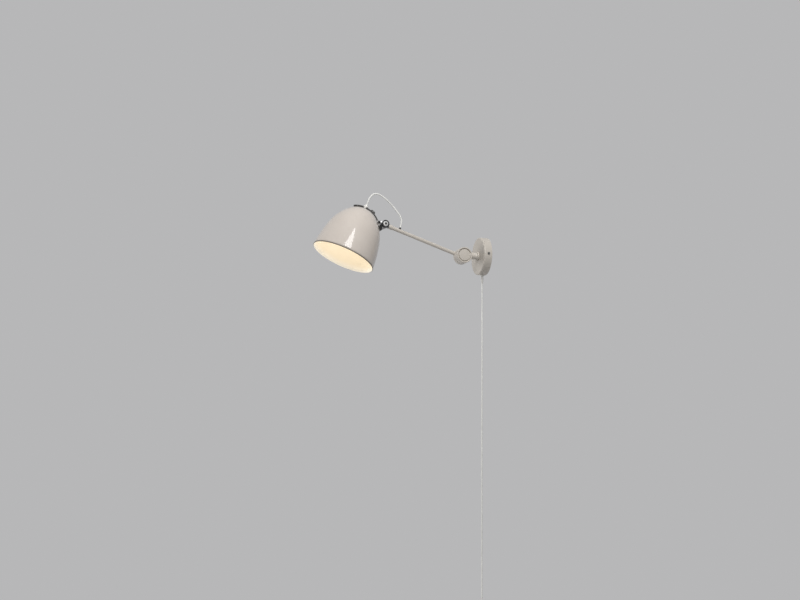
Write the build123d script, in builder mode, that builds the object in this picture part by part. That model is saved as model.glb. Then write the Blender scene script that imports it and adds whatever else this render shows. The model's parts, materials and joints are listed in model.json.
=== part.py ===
from build123d import *
import math
import os

# Wall lamp: a swivelling arm on a round wall canopy carries a tilting bell shade.
# Millimetres, +Z up. The wall is the plane Y = 0 and the lamp stands out towards -Y.
# The origin is the centre of the canopy on the wall.

# Clearances
seat_gap = 0.3
fit_gap = 0.05
turn_gap = 0.1
overrun = 2.0

# Canopy and wall bracket
canopy_radius = 50.0
canopy_depth = 22.0
canopy_wall = 1.5
canopy_edge_radius = 3.0
side_depth = 10.0
bracket_thickness = 1.5
bracket_width = 18.0
bracket_lug_depth = 15.0
wall_hole_spacing = 60.0
wall_slot_length = 9.0
wall_slot_width = 4.5
side_screw_radius = 2.0
side_head_radius = 3.2
side_head_height = 1.4
side_screw_length = 7.0
slot_width = 0.9
slot_depth = 0.7

# Cord entry, cord grip and terminal block inside the canopy
cord_radius = 2.0
gland_bore_gap = 0.1
gland_body_radius = 4.0
gland_flange_radius = 5.2
gland_flange_height = 1.4
gland_nose_length = 20.0
gland_nose_radius = 2.7
gland_inside_length = 3.0
clamp_width = 22.0
clamp_height = 8.0
clamp_bar_thickness = 3.0
clamp_centre_drop = 37.5
clamp_screw_spacing = 14.0
clamp_screw_radius = 1.5
clamp_head_radius = 2.8
clamp_head_height = 1.6
terminal_width = 21.0
terminal_height = 15.0
terminal_depth = 12.0
terminal_centre_drop = 23.5
terminal_pole_spacing = 10.0
terminal_hole_radius = 1.5
terminal_screw_radius = 1.6
terminal_screw_height = 1.0
lead_radius = 0.9
lead_bend_radius = 2.0
lead_back_depth = 6.0
lead_mouth_spacing = 2.6
lead_first_rise = 2.5

# Neck and elbow
collar_radius = 12.0
collar_length = 4.0
neck_radius = 8.8
neck_fillet = 1.5
neck_reach = 40.0
stud_radius = 5.0
stud_bore_radius = 3.0
stud_neck_depth = 13.0
stud_tail = 8.5
neck_washer_radius = 10.0
neck_washer_thickness = 1.0
neck_nut_flats = 14.0
neck_nut_thickness = 5.0
knuckle_radius = 21.0
knuckle_chamfer = 0.8
near_half_width = 18.0
far_half_width = 14.0
cap_recess_radius = 17.9
near_recess_depth = 3.2
far_recess_depth = 1.8
cap_radius = 15.6
near_cap_thickness = 2.6
far_cap_thickness = 1.4
cap_chamfer = 0.8
near_cavity_radius = 14.2
near_web = 8.5
far_cavity_radius = 8.5
far_web = 5.9
friction_washer_radius = 14.0
friction_washer_thickness = 0.8
elbow_bolt_radius = 3.0
elbow_head_flats = 10.0
elbow_head_height = 4.0
elbow_nut_flats = 10.0
elbow_nut_thickness = 4.0
spring_washer_radius = 6.5
spring_washer_thickness = 1.1

# Arm
arm_length = 228.0
arm_angle = 18.0
arm_radius = 5.0
arm_wall = 1.0
tube_start_radius = 11.5
tube_socket_length = 8.0
grommet_from_pivot = 44.0
grommet_stem_radius = 3.1
grommet_flange_radius = 4.2
grommet_flange_height = 1.4
grommet_nose_radius = 3.5
grommet_tip_radius = 2.8
grommet_nose_height = 4.2
grommet_foot_depth = 1.4

# Head joint
head_joint_radius = 10.5
eye_width = 8.0
eye_shank_height = 11.0
eye_socket_radius = 6.2
eye_socket_start = 13.0
eye_socket_length = 10.0
washer_radius = 8.0
washer_thickness = 0.6
cheek_width = 3.8
flange_radius = 13.5
flange_thickness = 3.8
pin_radius = 2.5
knob_radius = 10.5
knob_rim_width = 4.6
knob_dome_radius = 6.6
knob_dome_height = 3.2
knob_groove = 1.2
knob_edge_radius = 0.8
tilt_nut_radius = 7.0
tilt_nut_thickness = 5.0
tilt_nut_chamfer = 1.2

# Shade
shade_radius = 84.0
shade_depth = 142.5
shade_wall = 1.0
shade_lean = 23.8
crown_radius = 58.0
crown_angle = 44.0
shoulder_radius = 120.0
shoulder_angle = 31.0
rim_bead_radius = 1.3
joint_angle = 49.7
joint_stand_off = 20.5

# Strap over the shade and its fixings
strap_thickness = 5.0
strap_width = 17.0
strap_back = 29.5
strap_edge_margin = 9.0
strap_nut_angle = 20.0
strap_nut_radius = 6.0
strap_nut_height = 4.5
strap_nut_dome = 3.0
strap_bolt_radius = 2.0
strap_bolt_head_radius = 4.0
strap_bolt_head_height = 2.2
fork_screw_radius = 2.5
fork_screw_head_radius = 4.8
fork_screw_head_height = 3.0

# Cord grip and lampholder on the shade's axis
grip_radius = 6.0
grip_length = 6.0
grip_chamfer = 1.6
nipple_radius = 5.0
nipple_bore_radius = 3.1
nipple_above_strap = 4.0
nipple_below_crown = 12.0
lock_nut_flats = 14.0
lock_nut_thickness = 4.0
holder_radius = 19.0
holder_wall = 2.6
holder_neck_radius = 8.0
holder_cone_height = 8.0
holder_cap_height = 15.0
holder_cap_roof = 4.0
holder_body_height = 27.0
insert_thickness = 6.0
insert_centre_depth = 12.0
holder_ring_radius = 23.5
holder_ring_height = 3.0
holder_ring_from_mouth = 7.0
shell_radius = 14.2
shell_wall = 0.4
shell_length = 21.0
contact_radius = 4.0
contact_thickness = 1.5

# Bulb
bulb_radius = 22.5
bulb_glass_wall = 1.0
bulb_neck_radius = 12.4
bulb_length = 78.0
bulb_cap_radius = 13.2
bulb_cap_length = 23.0
bulb_cap_wall = 0.4
bulb_contact_radius = 4.8
bulb_insulator_height = 3.4

# Free cords
supply_run = 848.0
loop_start_run = 6.0
loop_top_points = [
    (-322.8, 134.0),
    (-314.0, 147.0),
    (-303.5, 152.8),
    (-289.0, 149.5),
    (-267.0, 134.0),
    (-248.0, 113.5),
    (-232.5, 95.0),
]
loop_end_run = 12.0

# In-line switch
switch_length = 56.0
switch_width = 24.0
switch_depth = 15.0
switch_parting = 7.0
switch_wall = 1.8
switch_corner_radius = 7.0
switch_edge_radius = 1.2
rocker_length = 17.0
rocker_width = 10.0
rocker_thickness = 5.0
rocker_proud = 1.4
rocker_tilt = 7.0
rocker_pin_radius = 1.2
rocker_pin_length = 1.4
rocker_gap = 0.5
switch_screw_radius = 1.5
switch_screw_head_radius = 2.8
switch_screw_head_height = 1.4
switch_screw_spacing = 32.0
switch_boss_radius = 4.0
rocker_pivot_depth = 3.0
rocker_underside = 1.5
rocker_end_taper = 0.6
bearing_width = 2.2
bearing_half_length = 3.0
bearing_tail = 1.8
switch_mouth_length = 6.0
switch_contact_width = 5.0
switch_contact_length = 12.0
switch_contact_height = 4.0
switch_contact_spacing = 12.0
switch_contact_step = 2.0

# Coil of the remaining cord, its tie, and the plug
coil_radius = 30.0
coil_pitch = 4.7
coil_half_turns = 5
coil_layer_gap = 0.7
coil_below_switch = 24.0
coil_lead_out = 26.0
tie_width = 8.0
tie_wall = 0.9
tie_gap = 0.3
plug_width = 35.0
plug_height = 14.0
plug_body_length = 36.0
plug_shoulder_width = 26.0
plug_nose_length = 20.0
plug_nose_radius = 4.2
plug_nose_tip_radius = 2.9
plug_cord_depth = 8.0
plug_edge_radius = 2.0
pin_spacing = 19.0
plug_pin_radius = 2.0
plug_pin_length = 19.0
pin_seat_depth = 8.0

# Derived places of the elbow and the arm
inner_radius = canopy_radius - canopy_wall
front_inside = canopy_depth - canopy_wall
elbow_y = -(canopy_depth + neck_reach)
near_face = near_half_width / 2
seam_near = -near_half_width / 2
seam_far = seam_near - friction_washer_thickness - fit_gap
far_face = seam_far - far_half_width
arm_x = seam_far - far_half_width / 2
arm_cos = math.cos(math.radians(arm_angle))
arm_sin = math.sin(math.radians(arm_angle))
arm_dir = (0, -arm_cos, arm_sin)
arm_up = (0, arm_sin, arm_cos)
pivot_y = elbow_y - arm_length * arm_cos
pivot_z = arm_length * arm_sin

# Derived places of the shade, in its own radius and height
lean_cos = math.cos(math.radians(shade_lean))
lean_sin = math.sin(math.radians(shade_lean))
joint_cos = math.cos(math.radians(joint_angle))
joint_sin = math.sin(math.radians(joint_angle))
crown_cos = math.cos(math.radians(crown_angle))
crown_sin = math.sin(math.radians(crown_angle))
end_cos = math.cos(math.radians(crown_angle + shoulder_angle))
end_sin = math.sin(math.radians(crown_angle + shoulder_angle))
crown_height = shade_depth - crown_radius
shoulder_r = (crown_radius - shoulder_radius) * crown_sin
shoulder_s = crown_height + (crown_radius - shoulder_radius) * crown_cos
flank_top_r = shoulder_r + shoulder_radius * end_sin
flank_top_s = shoulder_s + shoulder_radius * end_cos
flank_tangent = Vector(end_cos, -end_sin)
flank_chord = Vector(shade_radius - flank_top_r, -flank_top_s).normalized()
rim_tangent = flank_chord * (2 * flank_tangent.dot(flank_chord)) - flank_tangent
joint_r = shoulder_r + (shoulder_radius + joint_stand_off) * joint_sin
joint_s = shoulder_s + (shoulder_radius + joint_stand_off) * joint_cos
axis_dir = (0, lean_sin, lean_cos)
radial_dir = (0, lean_cos, -lean_sin)
rim_y = pivot_y - joint_r * lean_cos - joint_s * lean_sin
rim_z = pivot_z + joint_r * lean_sin - joint_s * lean_cos
rim_centre = (arm_x, rim_y, rim_z)
shade_axis = Axis(rim_centre, axis_dir)
shade_profile = Plane(origin=rim_centre, x_dir=radial_dir, z_dir=(1, 0, 0))


os.makedirs("parts", exist_ok=True)


def label_and_save(name, piece):
    """Give the piece its label and write its file."""
    piece.part.label = name
    export_step(piece.part, f"parts/{name}.step")


def front(depth):
    """Plane parallel to the wall at this depth, facing the room; local y is up."""
    return Plane.XZ.offset(depth)


def arm_section(distance):
    """Plane across the arm at this distance from the elbow, facing the head."""
    origin = (arm_x, elbow_y - distance * arm_cos, distance * arm_sin)
    return Plane(origin=origin, x_dir=(1, 0, 0), z_dir=arm_dir)


def arm_side(offset):
    """Plane along the arm through the elbow; local x runs to the head, local y up."""
    return Plane(origin=(arm_x + offset, elbow_y, 0), x_dir=arm_dir, z_dir=(-1, 0, 0))


def shade_section(height):
    """Plane across the shade at this height above its rim; local y points to the wall."""
    origin = (arm_x, rim_y + height * lean_sin, rim_z + height * lean_cos)
    return Plane(origin=origin, x_dir=(1, 0, 0), z_dir=axis_dir)


def spoke(centre_r, centre_s, angle, distance):
    """Plane square to a radius of one of the shade's arcs, at a distance from its centre."""
    spoke_sin = math.sin(math.radians(angle))
    spoke_cos = math.cos(math.radians(angle))
    r = centre_r + distance * spoke_sin
    s = centre_s + distance * spoke_cos
    direction = Vector(radial_dir) * spoke_sin + Vector(axis_dir) * spoke_cos
    origin = Vector(rim_centre) + Vector(radial_dir) * r + Vector(axis_dir) * s
    return Plane(origin=origin, x_dir=(1, 0, 0), z_dir=direction)


def joint_section(distance):
    """Plane square to the head fork at this distance out from the shade's surface."""
    return spoke(shoulder_r, shoulder_s, joint_angle, shoulder_radius + distance)


def joint_side(offset):
    """Plane along the head fork through the tilt axis; local y runs out from the shade."""
    direction = Vector(radial_dir) * joint_sin + Vector(axis_dir) * joint_cos
    across = direction.cross(Vector(1, 0, 0))
    return Plane(origin=(arm_x + offset, pivot_y, pivot_z), x_dir=across, z_dir=(1, 0, 0))


def polar(centre, radius, angle):
    """Point at this radius and angle from a centre."""
    turn = math.radians(angle)
    return (centre[0] + radius * math.cos(turn), centre[1] + radius * math.sin(turn))


# Wall body

# The bracket's lugs reach the canopy's side wall
lug_outer = math.sqrt(inner_radius**2 - (bracket_width / 2) ** 2) - seat_gap
with BuildPart() as wall_bracket:
    with BuildSketch(Plane.XY.offset(-bracket_width / 2)):
        Rectangle(2 * lug_outer, bracket_lug_depth, align=(Align.CENTER, Align.MAX))
        with Locations((0, -bracket_thickness)):
            Rectangle(
                2 * (lug_outer - bracket_thickness),
                bracket_lug_depth,
                align=(Align.CENTER, Align.MAX),
                mode=Mode.SUBTRACT,
            )
    extrude(amount=bracket_width)
    with BuildSketch(Plane.XZ):
        with GridLocations(wall_hole_spacing, 0, 2, 1):
            SlotOverall(wall_slot_length, wall_slot_width)
    extrude(amount=bracket_thickness, mode=Mode.SUBTRACT)
    with BuildSketch(Plane.YZ):
        with Locations((-side_depth, 0)):
            Circle(side_screw_radius + fit_gap)
    extrude(amount=canopy_radius, both=True, mode=Mode.SUBTRACT)
label_and_save("wall_bracket", wall_bracket)

with BuildPart() as canopy:
    with BuildSketch(Plane.XZ):
        Circle(canopy_radius)
    extrude(amount=canopy_depth)
    fillet(canopy.faces().sort_by(Axis.Y)[0].edges(), canopy_edge_radius)
    offset(amount=-canopy_wall, openings=canopy.faces().sort_by(Axis.Y)[-1])
    with BuildSketch(front(front_inside - overrun)):
        Circle(stud_radius + turn_gap)
    extrude(amount=canopy_wall + 2 * overrun, mode=Mode.SUBTRACT)
    with BuildSketch(Plane.YZ):
        with Locations((-side_depth, 0)):
            Circle(side_screw_radius + turn_gap)
    extrude(amount=canopy_radius + overrun, both=True, mode=Mode.SUBTRACT)
    with BuildSketch(Plane.XY):
        with Locations((0, -side_depth)):
            Circle(gland_body_radius + fit_gap)
    extrude(amount=-canopy_radius - overrun, mode=Mode.SUBTRACT)
label_and_save("canopy", canopy)

with BuildPart() as canopy_screws:
    with BuildSketch(Plane.YZ.offset(canopy_radius + fit_gap)):
        with Locations((-side_depth, 0)):
            Circle(side_head_radius)
    extrude(amount=side_head_height)
    with BuildSketch(Plane.YZ.offset(canopy_radius + fit_gap)):
        with Locations((-side_depth, 0)):
            Circle(side_screw_radius)
    extrude(amount=-side_screw_length)
    with BuildSketch(Plane.YZ.offset(canopy_radius + fit_gap + side_head_height)):
        with Locations((-side_depth, 0)):
            Rectangle(slot_width, 3 * side_head_radius)
    extrude(amount=-slot_depth, mode=Mode.SUBTRACT)
    mirror(about=Plane.YZ)
label_and_save("canopy_screws", canopy_screws)

# The gland's flange sits under the round rim, so it starts below the rim's lowest line
gland_top = -inner_radius + gland_inside_length
gland_seat = -canopy_radius - fit_gap
gland_mouth = gland_seat - gland_flange_height - gland_nose_length
with BuildPart() as cord_gland:
    with BuildSketch(Plane.XZ.offset(side_depth)):
        with BuildLine():
            Polyline(
                (cord_radius + gland_bore_gap, gland_top),
                (gland_body_radius, gland_top),
                (gland_body_radius, gland_seat),
                (gland_flange_radius, gland_seat),
                (gland_flange_radius, gland_seat - gland_flange_height),
                (gland_body_radius, gland_seat - gland_flange_height),
                (gland_nose_radius, gland_mouth),
                (cord_radius + gland_bore_gap, gland_mouth),
                close=True,
            )
        make_face()
    revolve(axis=Axis((0, -side_depth, 0), (0, 0, 1)))
label_and_save("cord_gland", cord_gland)

# The cord lies in a groove between the clamp's base and its bar
clamp_front = side_depth - clamp_bar_thickness
with BuildPart() as clamp_base:
    with BuildSketch(front(side_depth + seat_gap)):
        with Locations((0, -clamp_centre_drop)):
            Rectangle(clamp_width, clamp_height)
    extrude(amount=front_inside - side_depth - seat_gap)
    with BuildSketch(Plane.XY.offset(-clamp_centre_drop - clamp_height)):
        with Locations((0, -side_depth)):
            Circle(cord_radius + gland_bore_gap)
    extrude(amount=2 * clamp_height, mode=Mode.SUBTRACT)
    with BuildSketch(front(side_depth)):
        with Locations((0, -clamp_centre_drop)):
            with GridLocations(clamp_screw_spacing, 0, 2, 1):
                Circle(clamp_screw_radius + fit_gap)
    extrude(amount=front_inside - side_depth - canopy_wall, mode=Mode.SUBTRACT)
label_and_save("clamp_base", clamp_base)

with BuildPart() as clamp_bar:
    with BuildSketch(front(clamp_front)):
        with Locations((0, -clamp_centre_drop)):
            Rectangle(clamp_width, clamp_height)
    extrude(amount=clamp_bar_thickness)
    with BuildSketch(Plane.XY.offset(-clamp_centre_drop - clamp_height)):
        with Locations((0, -side_depth)):
            Circle(cord_radius + gland_bore_gap)
    extrude(amount=2 * clamp_height, mode=Mode.SUBTRACT)
    with BuildSketch(front(clamp_front)):
        with Locations((0, -clamp_centre_drop)):
            with GridLocations(clamp_screw_spacing, 0, 2, 1):
                Circle(clamp_screw_radius + fit_gap)
    extrude(amount=clamp_bar_thickness, mode=Mode.SUBTRACT)
label_and_save("clamp_bar", clamp_bar)

with BuildPart() as clamp_screws:
    with BuildSketch(front(clamp_front - clamp_head_height)):
        with Locations((0, -clamp_centre_drop)):
            with GridLocations(clamp_screw_spacing, 0, 2, 1):
                Circle(clamp_head_radius)
    extrude(amount=clamp_head_height)
    with BuildSketch(front(clamp_front)):
        with Locations((0, -clamp_centre_drop)):
            with GridLocations(clamp_screw_spacing, 0, 2, 1):
                Circle(clamp_screw_radius)
    extrude(amount=front_inside - clamp_front - 2 * canopy_wall)
label_and_save("clamp_screws", clamp_screws)

terminal_back = front_inside - terminal_depth
terminal_wire_depth = terminal_back + terminal_depth / 2
terminal_bottom = -terminal_centre_drop - terminal_height / 2
terminal_top = -terminal_centre_drop + terminal_height / 2
with BuildPart() as terminal_block:
    with BuildSketch(front(terminal_back)):
        with Locations((0, -terminal_centre_drop)):
            Rectangle(terminal_width, terminal_height)
    extrude(amount=terminal_depth)
    with BuildSketch(Plane.XY.offset(terminal_bottom)):
        with Locations((0, -terminal_wire_depth)):
            with GridLocations(terminal_pole_spacing, 0, 2, 1):
                Circle(terminal_hole_radius)
    extrude(amount=terminal_height, mode=Mode.SUBTRACT)
    with BuildSketch(front(terminal_back)):
        with Locations((0, -terminal_centre_drop)):
            with GridLocations(terminal_pole_spacing, terminal_height / 2, 2, 2):
                Circle(terminal_screw_radius + fit_gap)
    extrude(amount=terminal_screw_height * 2, mode=Mode.SUBTRACT)
label_and_save("terminal_block", terminal_block)

with BuildPart() as terminal_screws:
    with BuildSketch(front(terminal_back + terminal_screw_height)):
        with Locations((0, -terminal_centre_drop)):
            with GridLocations(terminal_pole_spacing, terminal_height / 2, 2, 2):
                Circle(terminal_screw_radius)
    extrude(amount=terminal_screw_height)
    with BuildSketch(front(terminal_back + terminal_screw_height)):
        with Locations((0, -terminal_centre_drop)):
            with GridLocations(terminal_pole_spacing, terminal_height / 2, 2, 2):
                Rectangle(slot_width / 2, 2 * terminal_screw_radius)
    extrude(amount=terminal_screw_height / 2, mode=Mode.SUBTRACT)
label_and_save("terminal_screws", terminal_screws)

# Two wires rise from the block, pass behind the nut and end at the stud's mouth
stud_back = front_inside - stud_tail
with BuildPart() as canopy_leads:
    for side in (-1, 1):
        with BuildLine() as lead_path:
            FilletPolyline(
                (side * terminal_pole_spacing / 2, -terminal_wire_depth, terminal_top - lead_first_rise),
                (side * terminal_pole_spacing / 2, -terminal_wire_depth, terminal_top + lead_first_rise),
                (side * terminal_pole_spacing / 2, -lead_back_depth, terminal_top + lead_first_rise),
                (side * lead_mouth_spacing / 2, -lead_back_depth, 0),
                (side * lead_mouth_spacing / 2, -stud_back, 0),
                radius=lead_bend_radius,
            )
        with BuildSketch(Plane(origin=lead_path.line @ 0, z_dir=lead_path.line % 0)):
            Circle(lead_radius)
        sweep(path=lead_path.line)
label_and_save("canopy_leads", canopy_leads)

# Neck body

neck_back = canopy_depth + turn_gap
with BuildPart() as neck_knuckle:
    with BuildSketch(Plane.YZ.offset(seam_near)):
        with Locations((elbow_y, 0)):
            Circle(knuckle_radius)
    extrude(amount=near_half_width)
    rim_edges = neck_knuckle.edges().filter_by(GeomType.CIRCLE).sort_by(Axis.X)
    chamfer(rim_edges[-1], knuckle_chamfer)
    with BuildSketch(Plane.XY):
        with BuildLine():
            Polyline(
                (0, -neck_back),
                (collar_radius, -neck_back),
                (collar_radius, -neck_back - collar_length + knuckle_chamfer),
                (collar_radius - knuckle_chamfer, -neck_back - collar_length),
                (neck_radius + neck_fillet, -neck_back - collar_length),
                (neck_radius, -neck_back - collar_length - neck_fillet),
                (neck_radius, elbow_y + near_cavity_radius),
                (0, elbow_y + near_cavity_radius),
                close=True,
            )
        make_face()
    revolve(axis=Axis.Y)
    with BuildSketch(Plane.YZ.offset(near_face)):
        with Locations((elbow_y, 0)):
            Circle(cap_recess_radius)
    extrude(amount=-near_recess_depth, mode=Mode.SUBTRACT)
    with BuildSketch(Plane.YZ.offset(seam_near + near_web)):
        with Locations((elbow_y, 0)):
            Circle(near_cavity_radius)
    extrude(amount=near_half_width, mode=Mode.SUBTRACT)
    with BuildSketch(Plane.YZ.offset(seam_near)):
        with Locations((elbow_y, 0)):
            Circle(elbow_bolt_radius + fit_gap)
    extrude(amount=near_half_width, mode=Mode.SUBTRACT)
    with BuildSketch(front(neck_back)):
        Circle(stud_radius + fit_gap)
    extrude(amount=stud_neck_depth, mode=Mode.SUBTRACT)
    with BuildSketch(front(neck_back)):
        Circle(stud_bore_radius)
    extrude(amount=neck_reach - near_cavity_radius, mode=Mode.SUBTRACT)
label_and_save("neck_knuckle", neck_knuckle)

with BuildPart() as neck_stud:
    with BuildSketch(front(stud_back)):
        Circle(stud_radius)
        Circle(stud_bore_radius, mode=Mode.SUBTRACT)
    extrude(amount=neck_back + stud_neck_depth - stud_back)
label_and_save("neck_stud", neck_stud)

with BuildPart() as neck_washer:
    with BuildSketch(front(front_inside - turn_gap - neck_washer_thickness)):
        Circle(neck_washer_radius)
        Circle(stud_radius + fit_gap, mode=Mode.SUBTRACT)
    extrude(amount=neck_washer_thickness)
label_and_save("neck_washer", neck_washer)

neck_nut_back = front_inside - turn_gap - neck_washer_thickness - neck_nut_thickness
with BuildPart() as neck_nut:
    with BuildSketch(front(neck_nut_back)):
        RegularPolygon(neck_nut_flats / 2, side_count=6, major_radius=False)
        Circle(stud_radius + fit_gap, mode=Mode.SUBTRACT)
    extrude(amount=neck_nut_thickness)
label_and_save("neck_nut", neck_nut)


def face_cap(name, ledge, outward, thickness):
    """Cover disc of an elbow half, chamfered on the side that shows."""
    with BuildPart() as cap:
        with BuildSketch(Plane.YZ.offset(ledge)):
            with Locations((elbow_y, 0)):
                Circle(cap_radius)
        extrude(amount=outward * thickness)
        faces = cap.faces().filter_by(Axis.X).sort_by(Axis.X)
        chamfer((faces[-1] if outward > 0 else faces[0]).edges(), cap_chamfer)
    label_and_save(name, cap)


face_cap("neck_face_cap", near_face - near_recess_depth, 1, near_cap_thickness)
face_cap("arm_face_cap", far_face + far_recess_depth, -1, far_cap_thickness)

bolt_head_start = seam_near + near_web
far_web_end = seam_far - far_web
bolt_end = far_web_end - spring_washer_thickness - elbow_nut_thickness
with BuildPart() as elbow_bolt:
    with BuildSketch(Plane.YZ.offset(bolt_head_start)):
        with Locations((elbow_y, 0)):
            RegularPolygon(elbow_head_flats / 2, side_count=6, major_radius=False)
    extrude(amount=elbow_head_height)
    with BuildSketch(Plane.YZ.offset(bolt_head_start)):
        with Locations((elbow_y, 0)):
            Circle(elbow_bolt_radius)
    extrude(amount=bolt_end - bolt_head_start)
label_and_save("elbow_bolt", elbow_bolt)

with BuildPart() as elbow_friction_washer:
    with BuildSketch(Plane.YZ.offset(seam_near)):
        with Locations((elbow_y, 0)):
            Circle(friction_washer_radius)
            Circle(elbow_bolt_radius + fit_gap, mode=Mode.SUBTRACT)
    extrude(amount=-friction_washer_thickness)
label_and_save("elbow_friction_washer", elbow_friction_washer)

with BuildPart() as elbow_spring_washer:
    with BuildSketch(Plane.YZ.offset(far_web_end - fit_gap)):
        with Locations((elbow_y, 0)):
            Circle(spring_washer_radius)
            Circle(elbow_bolt_radius + fit_gap, mode=Mode.SUBTRACT)
    extrude(amount=fit_gap - spring_washer_thickness)
label_and_save("elbow_spring_washer", elbow_spring_washer)

with BuildPart() as elbow_nut:
    with BuildSketch(Plane.YZ.offset(far_web_end - spring_washer_thickness)):
        with Locations((elbow_y, 0)):
            RegularPolygon(elbow_nut_flats / 2, side_count=6, major_radius=False)
            Circle(elbow_bolt_radius + fit_gap, mode=Mode.SUBTRACT)
    extrude(amount=-elbow_nut_thickness)
label_and_save("elbow_nut", elbow_nut)

# The wire lies on the floor of the stud's bore
neck_cable_drop = stud_bore_radius - cord_radius - seat_gap
neck_cable_back = stud_back + seat_gap + lead_radius
with BuildPart() as neck_cable:
    with BuildSketch(front(neck_cable_back)):
        with Locations((0, -neck_cable_drop)):
            Circle(cord_radius)
    extrude(amount=canopy_depth + neck_reach - near_cavity_radius - neck_cable_back)
label_and_save("neck_cable", neck_cable)

# Arm body

with BuildPart() as arm_knuckle:
    with BuildSketch(Plane.YZ.offset(far_face)):
        with Locations((elbow_y, 0)):
            Circle(knuckle_radius)
    extrude(amount=far_half_width)
    rim_edges = arm_knuckle.edges().filter_by(GeomType.CIRCLE).sort_by(Axis.X)
    chamfer(rim_edges[0], knuckle_chamfer)
    with BuildSketch(Plane.YZ.offset(far_face)):
        with Locations((elbow_y, 0)):
            Circle(cap_recess_radius)
    extrude(amount=far_recess_depth, mode=Mode.SUBTRACT)
    with BuildSketch(Plane.YZ.offset(far_web_end)):
        with Locations((elbow_y, 0)):
            Circle(far_cavity_radius)
    extrude(amount=-far_half_width, mode=Mode.SUBTRACT)
    with BuildSketch(Plane.YZ.offset(far_face)):
        with Locations((elbow_y, 0)):
            Circle(elbow_bolt_radius + fit_gap)
    extrude(amount=far_half_width, mode=Mode.SUBTRACT)
    with BuildSketch(arm_section(tube_start_radius)):
        Circle(arm_radius + fit_gap)
    extrude(amount=knuckle_radius, mode=Mode.SUBTRACT)
label_and_save("arm_knuckle", arm_knuckle)

grommet_distance = arm_length - grommet_from_pivot
tube_end = arm_length - eye_socket_start - eye_socket_length + tube_socket_length
grommet_plane = Plane(
    origin=arm_section(grommet_distance).origin, x_dir=(1, 0, 0), z_dir=arm_up
)
with BuildPart() as arm_tube:
    with BuildSketch(arm_section(tube_start_radius)):
        Circle(arm_radius)
        Circle(arm_radius - arm_wall, mode=Mode.SUBTRACT)
    extrude(amount=tube_end - tube_start_radius)
    with BuildSketch(grommet_plane):
        Circle(grommet_stem_radius + fit_gap)
    extrude(amount=2 * arm_radius, mode=Mode.SUBTRACT)
label_and_save("arm_tube", arm_tube)

grommet_top = arm_radius + grommet_flange_height + grommet_nose_height
with BuildPart() as arm_grommet:
    with BuildSketch(grommet_plane):
        Circle(grommet_flange_radius)
    extrude(amount=arm_radius + grommet_flange_height)
    with BuildSketch(arm_section(grommet_distance - 2 * arm_radius)):
        Circle(arm_radius + fit_gap)
    extrude(amount=4 * arm_radius, mode=Mode.SUBTRACT)
    with BuildSketch(grommet_plane.offset(arm_radius - arm_wall - grommet_foot_depth)):
        Circle(grommet_stem_radius)
    extrude(amount=arm_wall + grommet_foot_depth + 2 * fit_gap)
    with BuildSketch(grommet_plane.offset(arm_radius + grommet_flange_height)):
        Circle(grommet_nose_radius)
    with BuildSketch(grommet_plane.offset(grommet_top)):
        Circle(grommet_tip_radius)
    loft()
    with BuildSketch(grommet_plane):
        Circle(cord_radius + gland_bore_gap)
    extrude(amount=2 * grommet_top, mode=Mode.SUBTRACT)
label_and_save("arm_grommet", arm_grommet)

# The wire lies on the floor of the tube and ends just past the grommet
arm_cable_drop = arm_radius - arm_wall - cord_radius - seat_gap
with BuildPart() as arm_cable:
    with BuildSketch(arm_section(tube_start_radius + seat_gap)):
        with Locations((0, -arm_cable_drop)):
            Circle(cord_radius)
    extrude(amount=grommet_distance + cord_radius - tube_start_radius)
label_and_save("arm_cable", arm_cable)

with BuildPart() as arm_eye:
    with BuildSketch(Plane.YZ.offset(arm_x - eye_width / 2)):
        with Locations((pivot_y, pivot_z)):
            Circle(head_joint_radius)
    extrude(amount=eye_width)
    with BuildSketch(arm_side(-eye_width / 2)):
        with Locations((arm_length - eye_socket_start / 2 - overrun / 2, 0)):
            Rectangle(eye_socket_start + overrun, eye_shank_height)
    extrude(amount=-eye_width)
    with BuildSketch(arm_section(arm_length - eye_socket_start - eye_socket_length)):
        Circle(eye_socket_radius)
    extrude(amount=eye_socket_length)
    socket_edges = arm_eye.edges().filter_by(GeomType.CIRCLE).sort_by(Axis.Y)
    chamfer(socket_edges[-1], knob_edge_radius)
    with BuildSketch(arm_section(arm_length - eye_socket_start - eye_socket_length)):
        Circle(arm_radius + fit_gap)
    extrude(amount=tube_socket_length + fit_gap, mode=Mode.SUBTRACT)
    with BuildSketch(Plane.YZ.offset(arm_x - eye_width)):
        with Locations((pivot_y, pivot_z)):
            Circle(pin_radius + fit_gap)
    extrude(amount=2 * eye_width, mode=Mode.SUBTRACT)
label_and_save("arm_eye", arm_eye)

# Head body: fork, knob, nut and washers of the tilt joint

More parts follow.
